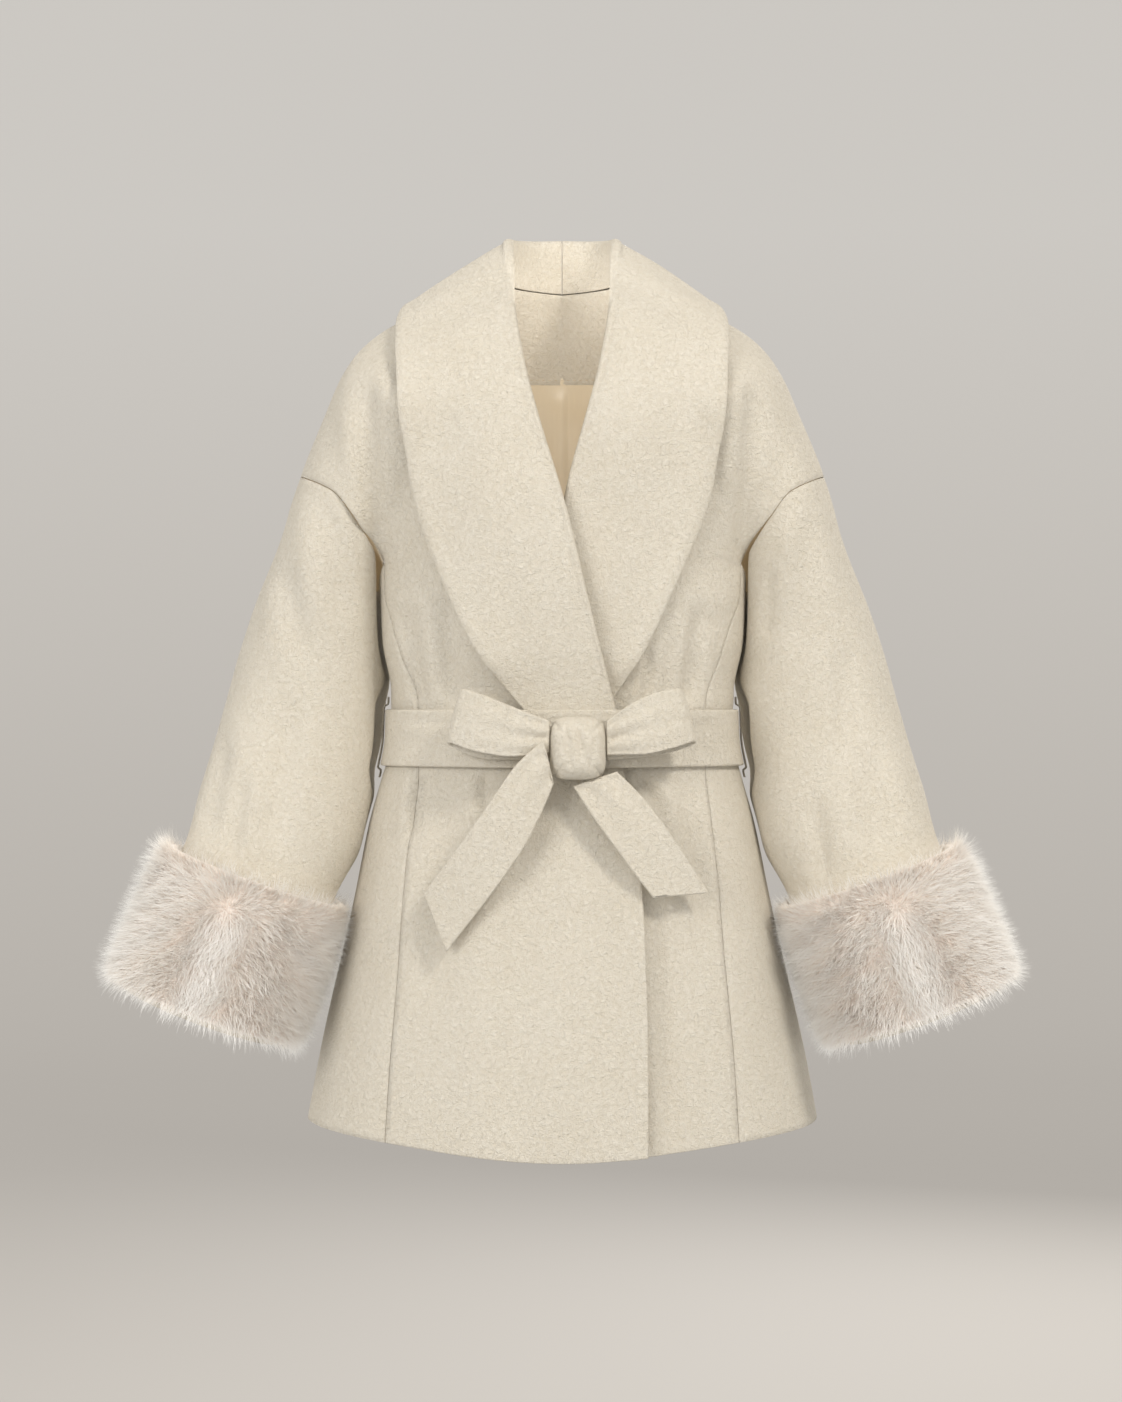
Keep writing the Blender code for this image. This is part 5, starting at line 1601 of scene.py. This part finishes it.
def tanned_pelt(name):
    """Padded skin under the fur: matt and warm, seen only between the locks."""
    made, tree, shader = blank(name, {"Roughness": 0.95})
    place = node(tree, "ShaderNodeTexCoord").outputs["Object"]
    patchy = node(tree, "ShaderNodeTexNoise", values={"Scale": 120.0, "Detail": 4.0},
                  links={"Vector": place})
    colour = graded(tree, patchy.outputs["Fac"], [(0.3, "#F6EAE0"), (0.7, "#FBF5EE")])
    bump = node(tree, "ShaderNodeBump", values={"Strength": 0.8, "Distance": 0.002},
                links={"Height": patchy.outputs["Fac"]})
    tree.links.new(colour, shader.inputs["Base Color"])
    tree.links.new(bump.outputs["Normal"], shader.inputs["Normal"])
    return made


PELT = tanned_pelt("tanned pelt")

# %% Hair tree
BLADE_STEPS = 4
SHORTEST = 0.62          # the shortest hair as a share of the longest
TIP = 0.12               # a hair's width at its tip as a share of its root's


def hair_tree():
    """Bent tapered blades on the marked faces, along the combed direction."""
    tree, start, end = tree_with("hair on pelt", {
        "Density": ("Float", 100000.0), "Length": ("Float", 0.02), "Width": ("Float", 0.0005),
        "Bend": ("Float", 0.4), "Stray": ("Float", 0.3), "Seed": ("Int", 1),
        "Material": ("Material", None)})
    grow = node(tree, "GeometryNodeInputNamedAttribute", {"data_type": "FLOAT"}, {"Name": "grow"})
    dense = node(tree, "ShaderNodeMath", {"operation": "MULTIPLY"},
                 links={0: grow.outputs["Attribute"], 1: start.outputs["Density"]})
    spread = node(tree, "GeometryNodeDistributePointsOnFaces",
                  links={"Mesh": start.outputs["Geometry"], "Density": dense.outputs["Value"],
                         "Seed": start.outputs["Seed"]})
    comb = node(tree, "GeometryNodeInputNamedAttribute", {"data_type": "FLOAT_VECTOR"},
                {"Name": "comb"})
    chance = node(tree, "FunctionNodeRandomValue", {"data_type": "FLOAT_VECTOR"},
                  {"Min": (-1.0, -1.0, -1.0), "Max": (1.0, 1.0, 1.0)},
                  {"Seed": start.outputs["Seed"]})
    stray = node(tree, "ShaderNodeVectorMath", {"operation": "SCALE"},
                 links={"Vector": chance.outputs["Value"], "Scale": start.outputs["Stray"]})
    way = node(tree, "ShaderNodeVectorMath", {"operation": "ADD"},
               links={0: comb.outputs["Attribute"], 1: stray.outputs["Vector"]})
    face = node(tree, "FunctionNodeAlignRotationToVector", {"axis": "Y"},
                links={"Vector": spread.outputs["Normal"]})
    turn = node(tree, "FunctionNodeAlignRotationToVector", {"axis": "Z"},
                links={"Rotation": face.outputs["Rotation"], "Vector": way.outputs["Vector"]})
    room = node(tree, "GeometryNodeInputNamedAttribute", {"data_type": "FLOAT"}, {"Name": "room"})
    some = node(tree, "FunctionNodeRandomValue", {"data_type": "FLOAT"}, {2: SHORTEST, 3: 1.0},
                {"Seed": start.outputs["Seed"]})
    long = node(tree, "ShaderNodeMath", {"operation": "MULTIPLY"},
                links={0: room.outputs["Attribute"], 1: some.outputs[1]})
    full = node(tree, "ShaderNodeMath", {"operation": "MULTIPLY"},
                links={0: long.outputs["Value"], 1: start.outputs["Length"]})
    size = node(tree, "ShaderNodeCombineXYZ",
                links={"X": start.outputs["Width"], "Y": full.outputs["Value"],
                       "Z": full.outputs["Value"]})
    blade = hair_blade(tree, start)
    placed = node(tree, "GeometryNodeInstanceOnPoints",
                  links={"Points": spread.outputs["Points"], "Instance": blade,
                         "Rotation": turn.outputs["Rotation"], "Scale": size.outputs["Vector"]})
    tone = node(tree, "FunctionNodeRandomValue", {"data_type": "FLOAT"},
                links={"Seed": start.outputs["Seed"]})
    toned = node(tree, "GeometryNodeStoreNamedAttribute",
                 {"data_type": "FLOAT", "domain": "INSTANCE"}, {"Name": "tone"},
                 {"Geometry": placed.outputs["Instances"], "Value": tone.outputs[1]})
    real = node(tree, "GeometryNodeRealizeInstances", links={"Geometry": toned.outputs["Geometry"]})
    done = node(tree, "GeometryNodeSetMaterial", links={"Geometry": real.outputs["Geometry"],
                                                        "Material": start.outputs["Material"]})
    tree.links.new(done.outputs["Geometry"], end.inputs["Geometry"])
    return tree


def hair_blade(tree, start):
    """One hair, a unit long: a narrow grid tapered to its tip and bent over."""
    flat = node(tree, "GeometryNodeMeshGrid",
                values={"Size X": 1.0, "Size Y": 1.0, "Vertices X": 2, "Vertices Y": BLADE_STEPS})
    place = node(tree, "GeometryNodeInputPosition")
    split = node(tree, "ShaderNodeSeparateXYZ", links={"Vector": place.outputs["Position"]})
    along = node(tree, "ShaderNodeMath", {"operation": "ADD"}, {1: 0.5}, {0: split.outputs["Y"]})
    taper = node(tree, "ShaderNodeMath", {"operation": "MULTIPLY_ADD"}, {1: TIP - 1.0, 2: 1.0},
                 {0: along.outputs["Value"]})
    narrow = node(tree, "ShaderNodeMath", {"operation": "MULTIPLY"},
                  links={0: split.outputs["X"], 1: taper.outputs["Value"]})
    square = node(tree, "ShaderNodeMath", {"operation": "POWER"}, {1: 2.0},
                  {0: along.outputs["Value"]})
    bend = node(tree, "ShaderNodeMath", {"operation": "MULTIPLY"},
                links={0: square.outputs["Value"], 1: start.outputs["Bend"]})
    back = node(tree, "ShaderNodeMath", {"operation": "MULTIPLY"}, {1: -1.0},
                {0: bend.outputs["Value"]})
    shaped = node(tree, "ShaderNodeCombineXYZ",
                  links={"X": narrow.outputs["Value"], "Y": back.outputs["Value"],
                         "Z": along.outputs["Value"]})
    marked = node(tree, "GeometryNodeStoreNamedAttribute",
                  {"data_type": "FLOAT", "domain": "POINT"}, {"Name": "along"},
                  {"Geometry": flat.outputs["Mesh"], "Value": along.outputs["Value"]})
    bent = node(tree, "GeometryNodeSetPosition", links={"Geometry": marked.outputs["Geometry"],
                                                        "Position": shaped.outputs["Vector"]})
    return bent.outputs["Geometry"]


HAIR = hair_tree()

# %% Combing
COMB_FROM = 0.24         # share along the cuff where the hair parts
LOCK_WAVES = (0.030, 0.019, 0.013)
LOCK_DEPTH = 0.17


def combed(outer, outward, right):
    """Direction of the hair at each place of the pelt: away from the parting, down and out."""
    rows = len(outer)
    part = outer[int(rows * COMB_FROM)].mean(axis=0)
    sign = -1.0 if right else 1.0
    centre = part + np.array([sign * 0.010, -0.075, 0.0])
    away = unit(outer - centre)
    away = unit(away - outward * (away * outward).sum(-1, keepdims=True))
    down = np.array([sign * 0.22, 0.0, -1.0])
    down = unit(down - outward * (outward @ down)[..., None])
    locks = np.zeros(outer.shape)
    chance = np.random.default_rng(21)
    for size in LOCK_WAVES:
        for axis in range(3):
            way = unit(chance.normal(size=3))
            start = chance.uniform(0.0, 2.0 * math.pi)
            locks[..., axis] += LOCK_DEPTH * np.sin(2.0 * math.pi * (outer @ way) / size + start)
    front = ramp(-outward[..., 1], -0.2, 0.6)[..., None]
    flow = away * front + down * (1.15 - 0.75 * front)
    along = np.linspace(0.0, 1.0, rows)[:, None, None]
    up = 1.0 - ramp(along, 0.0, 0.16)
    low = ramp(along, 0.84, 1.0)
    steady = (1.0 - up) * (1.0 - 0.5 * low)
    return unit(unit(flow) * steady + down * END_FLARE * (low - up) + outward * 1.15 + locks)


def mark(piece, name, kind, values):
    """Stores values on a piece's points, zero where none are given."""
    attribute = piece.data.attributes.new(name, kind, "POINT")
    size = 3 if kind == "FLOAT_VECTOR" else 1
    flat = np.zeros(len(piece.data.vertices) * size)
    values = np.asarray(values).reshape(-1)
    flat[:len(values)] = values
    attribute.data.foreach_set("vector" if size == 3 else "value", flat)


def hair_room(outer, outward):
    """How long hair may be, as a share: short only where it would grow into the body."""
    place = np.abs(outer[..., 0])
    deep = read(BODY, 2, outer[..., 2])
    share = np.clip(np.abs(outer[..., 1]) / deep, 0.0, 1.0)
    limit = read(BODY, 1, outer[..., 2]) * rest_of_section(share)
    near = 1.0 - ramp(place - limit, 0.006, 0.034)
    inwards = ramp(-outward[..., 0] * np.sign(outer[..., 0]), 0.55, 1.0)
    return 1.0 - 0.40 * near * inwards


# %% Both cuffs
UNDER_DENSITY = 370000.0
GUARD_DENSITY = 350000.0
for side, right in SIDES:
    outer, inner = on_the_right(pelt(), right)
    outward = outward_of_tube(outer)
    thick = np.linalg.norm(outer - inner, axis=-1)
    base = cloth("fur_cuff_" + side, outer, outward, thick, [PELT], around=True)
    mark(base, "grow", "FLOAT", np.ones(outer.shape[:2]))
    mark(base, "comb", "FLOAT_VECTOR", combed(outer, outward, right))
    mark(base, "room", "FLOAT", hair_room(outer, outward))
    under = grown(base, HAIR, {"Density": UNDER_DENSITY, "Length": 0.0150, "Width": 0.00080,
                               "Bend": 0.20, "Stray": 0.55, "Seed": 4, "Material": UNDER_FUR},
                  "under_fur_" + side)
    guard = grown(base, HAIR, {"Density": GUARD_DENSITY, "Length": 0.0235, "Width": 0.00055,
                               "Bend": 0.25, "Stray": 0.38, "Seed": 9, "Material": GUARD_HAIR},
                  "guard_hair_" + side)
    joins(base, "fur_cuff_" + side)
    for hair in (under, guard):
        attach(hair, "root")
        print(hair.name, triangles(hair), "triangles")

# %% [markdown]
# ## Stage
#
# A garment is shown against a plain, pale, seamless surround. One soft lamp high on the viewer's
# right models the folds, a larger one opposite keeps the shadows open, one behind lights the back,
# and a very small one in the opening of the neck reaches the facing and the satin. The world's even
# light gives the rest. The floor curves up into the wall far behind, so no line crosses the
# picture. The surround lets the world's light through and throws none back on the coat.

# %% Surround
SURROUND = 7.0
FLOOR = -1.55
# The surround's painted shade fades out up to this height.
SHADE_ENDS_AT = 1.2          # height where the wall reaches its palest
DOME_TURNS = 96


def surround_material():
    """Matt surround with painted shade: darker at the floor and paler up the wall it curves up
    into.
    """
    made, tree, shader = blank("matt surround with painted shade",
                               {"Roughness": 1.0, "Specular IOR Level": 0.0})
    place = node(tree, "ShaderNodeTexCoord").outputs["Object"]
    height = node(tree, "ShaderNodeSeparateXYZ", links={"Vector": place}).outputs["Z"]
    share = node(tree, "ShaderNodeMapRange",
                 values={"From Min": FLOOR, "From Max": SHADE_ENDS_AT, "To Min": 0.0, "To Max": 1.0},
                 links={"Value": height}).outputs["Result"]
    # Painted shade: the colour darkens towards the floor in place of light falling off there.
    colour = graded(tree, share, [(0.0, "#CFCBC6"), (0.6, "#DFDCD8"), (1.0, "#E8E6E3")])
    tree.links.new(colour, shader.inputs["Base Color"])
    return made


def surround():
    """Floor that curves up into a dome."""
    bend = [(0.0, FLOOR), (4.6, FLOOR), (5.6, FLOOR + 0.12), (6.4, FLOOR + 0.6),
            (6.9, FLOOR + 1.4), (SURROUND, FLOOR + 2.6), (6.6, FLOOR + 4.6), (4.8, FLOOR + 6.8),
            (2.2, FLOOR + 7.9), (0.0, FLOOR + 8.1)]
    reach = edge_line(bend, (0, 1), 60)
    turn = np.linspace(0.0, 2.0 * math.pi, DOME_TURNS, endpoint=False)
    grid = np.stack([reach[:, :1] * np.cos(turn), reach[:, :1] * np.sin(turn),
                     reach[:, 1:] + 0.0 * turn], axis=-1)
    index = np.arange(len(grid) * DOME_TURNS).reshape(len(grid), DOME_TURNS)
    beside = np.roll(index, -1, axis=1)
    faces = np.stack([index[:-1], beside[:-1], beside[1:], index[1:]], axis=-1)
    mesh = bpy.data.meshes.new("surround")
    mesh.from_pydata(grid.reshape(-1, 3).tolist(), [], faces.reshape(-1, 4).tolist())
    mesh.materials.append(surround_material())
    mesh.shade_smooth()
    made = linked("surround", mesh)
    made.visible_shadow = False
    made.visible_diffuse = False
    made.visible_glossy = False


surround()


# %% Lamps and camera
def lamp(name, place, size, power, target, colour):
    """Flat soft lamp turned to a target, itself out of sight."""
    light = bpy.data.lights.new(name, "AREA")
    light.shape = "RECTANGLE"
    light.size, light.size_y = size
    light.energy = power
    light.color = shade(colour)[:3]
    made = linked(name, light)
    made.location = place
    way = mathutils.Vector(target) - mathutils.Vector(place)
    made.rotation_euler = way.to_track_quat("-Z", "Y").to_euler()
    made.visible_camera = False


MIDDLE = (0.0, 0.0, -0.35)
for name, place, size, power, target, colour in (
        ("key", (2.0, -2.6, 2.3), (0.8, 0.8), 80.0, MIDDLE, "#FFFAF2"),
        ("fill", (-2.0, -2.9, 0.5), (1.6, 1.6), 46.0, MIDDLE, "#FFFDFA"),
        ("rear", (1.2, 3.4, 0.8), (2.0, 2.0), 38.0, MIDDLE, "#FFFDF9"),
        ("neck", (0.0, -0.078, -0.036), (0.04, 0.07), 0.16, (0.0, 0.09, -0.052), "#FFFDFA")):
    lamp(name, place, size, power, target, colour)
world = bpy.data.worlds.new("studio")
world.use_nodes = True
world.node_tree.nodes["Background"].inputs["Color"].default_value = shade("#E9E7E4")
world.node_tree.nodes["Background"].inputs["Strength"].default_value = 0.80
bpy.context.scene.world = world
bpy.context.scene.view_settings.view_transform = "Standard"

view = bpy.data.cameras.new("view")
view.lens = 74.9
view.clip_end = 30.0
eye = linked("view", view)
eye.location = (-0.001, -2.8, -0.371)
eye.rotation_euler = (math.radians(90.0), 0.0, 0.0)
bpy.context.scene.camera = eye

# %% Sizes and finish
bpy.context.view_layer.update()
total = sum(triangles(piece) for piece in bpy.data.objects
            if piece.type == "MESH" and piece.name != "surround" and piece.visible_get())
print("triangles in all:", total)
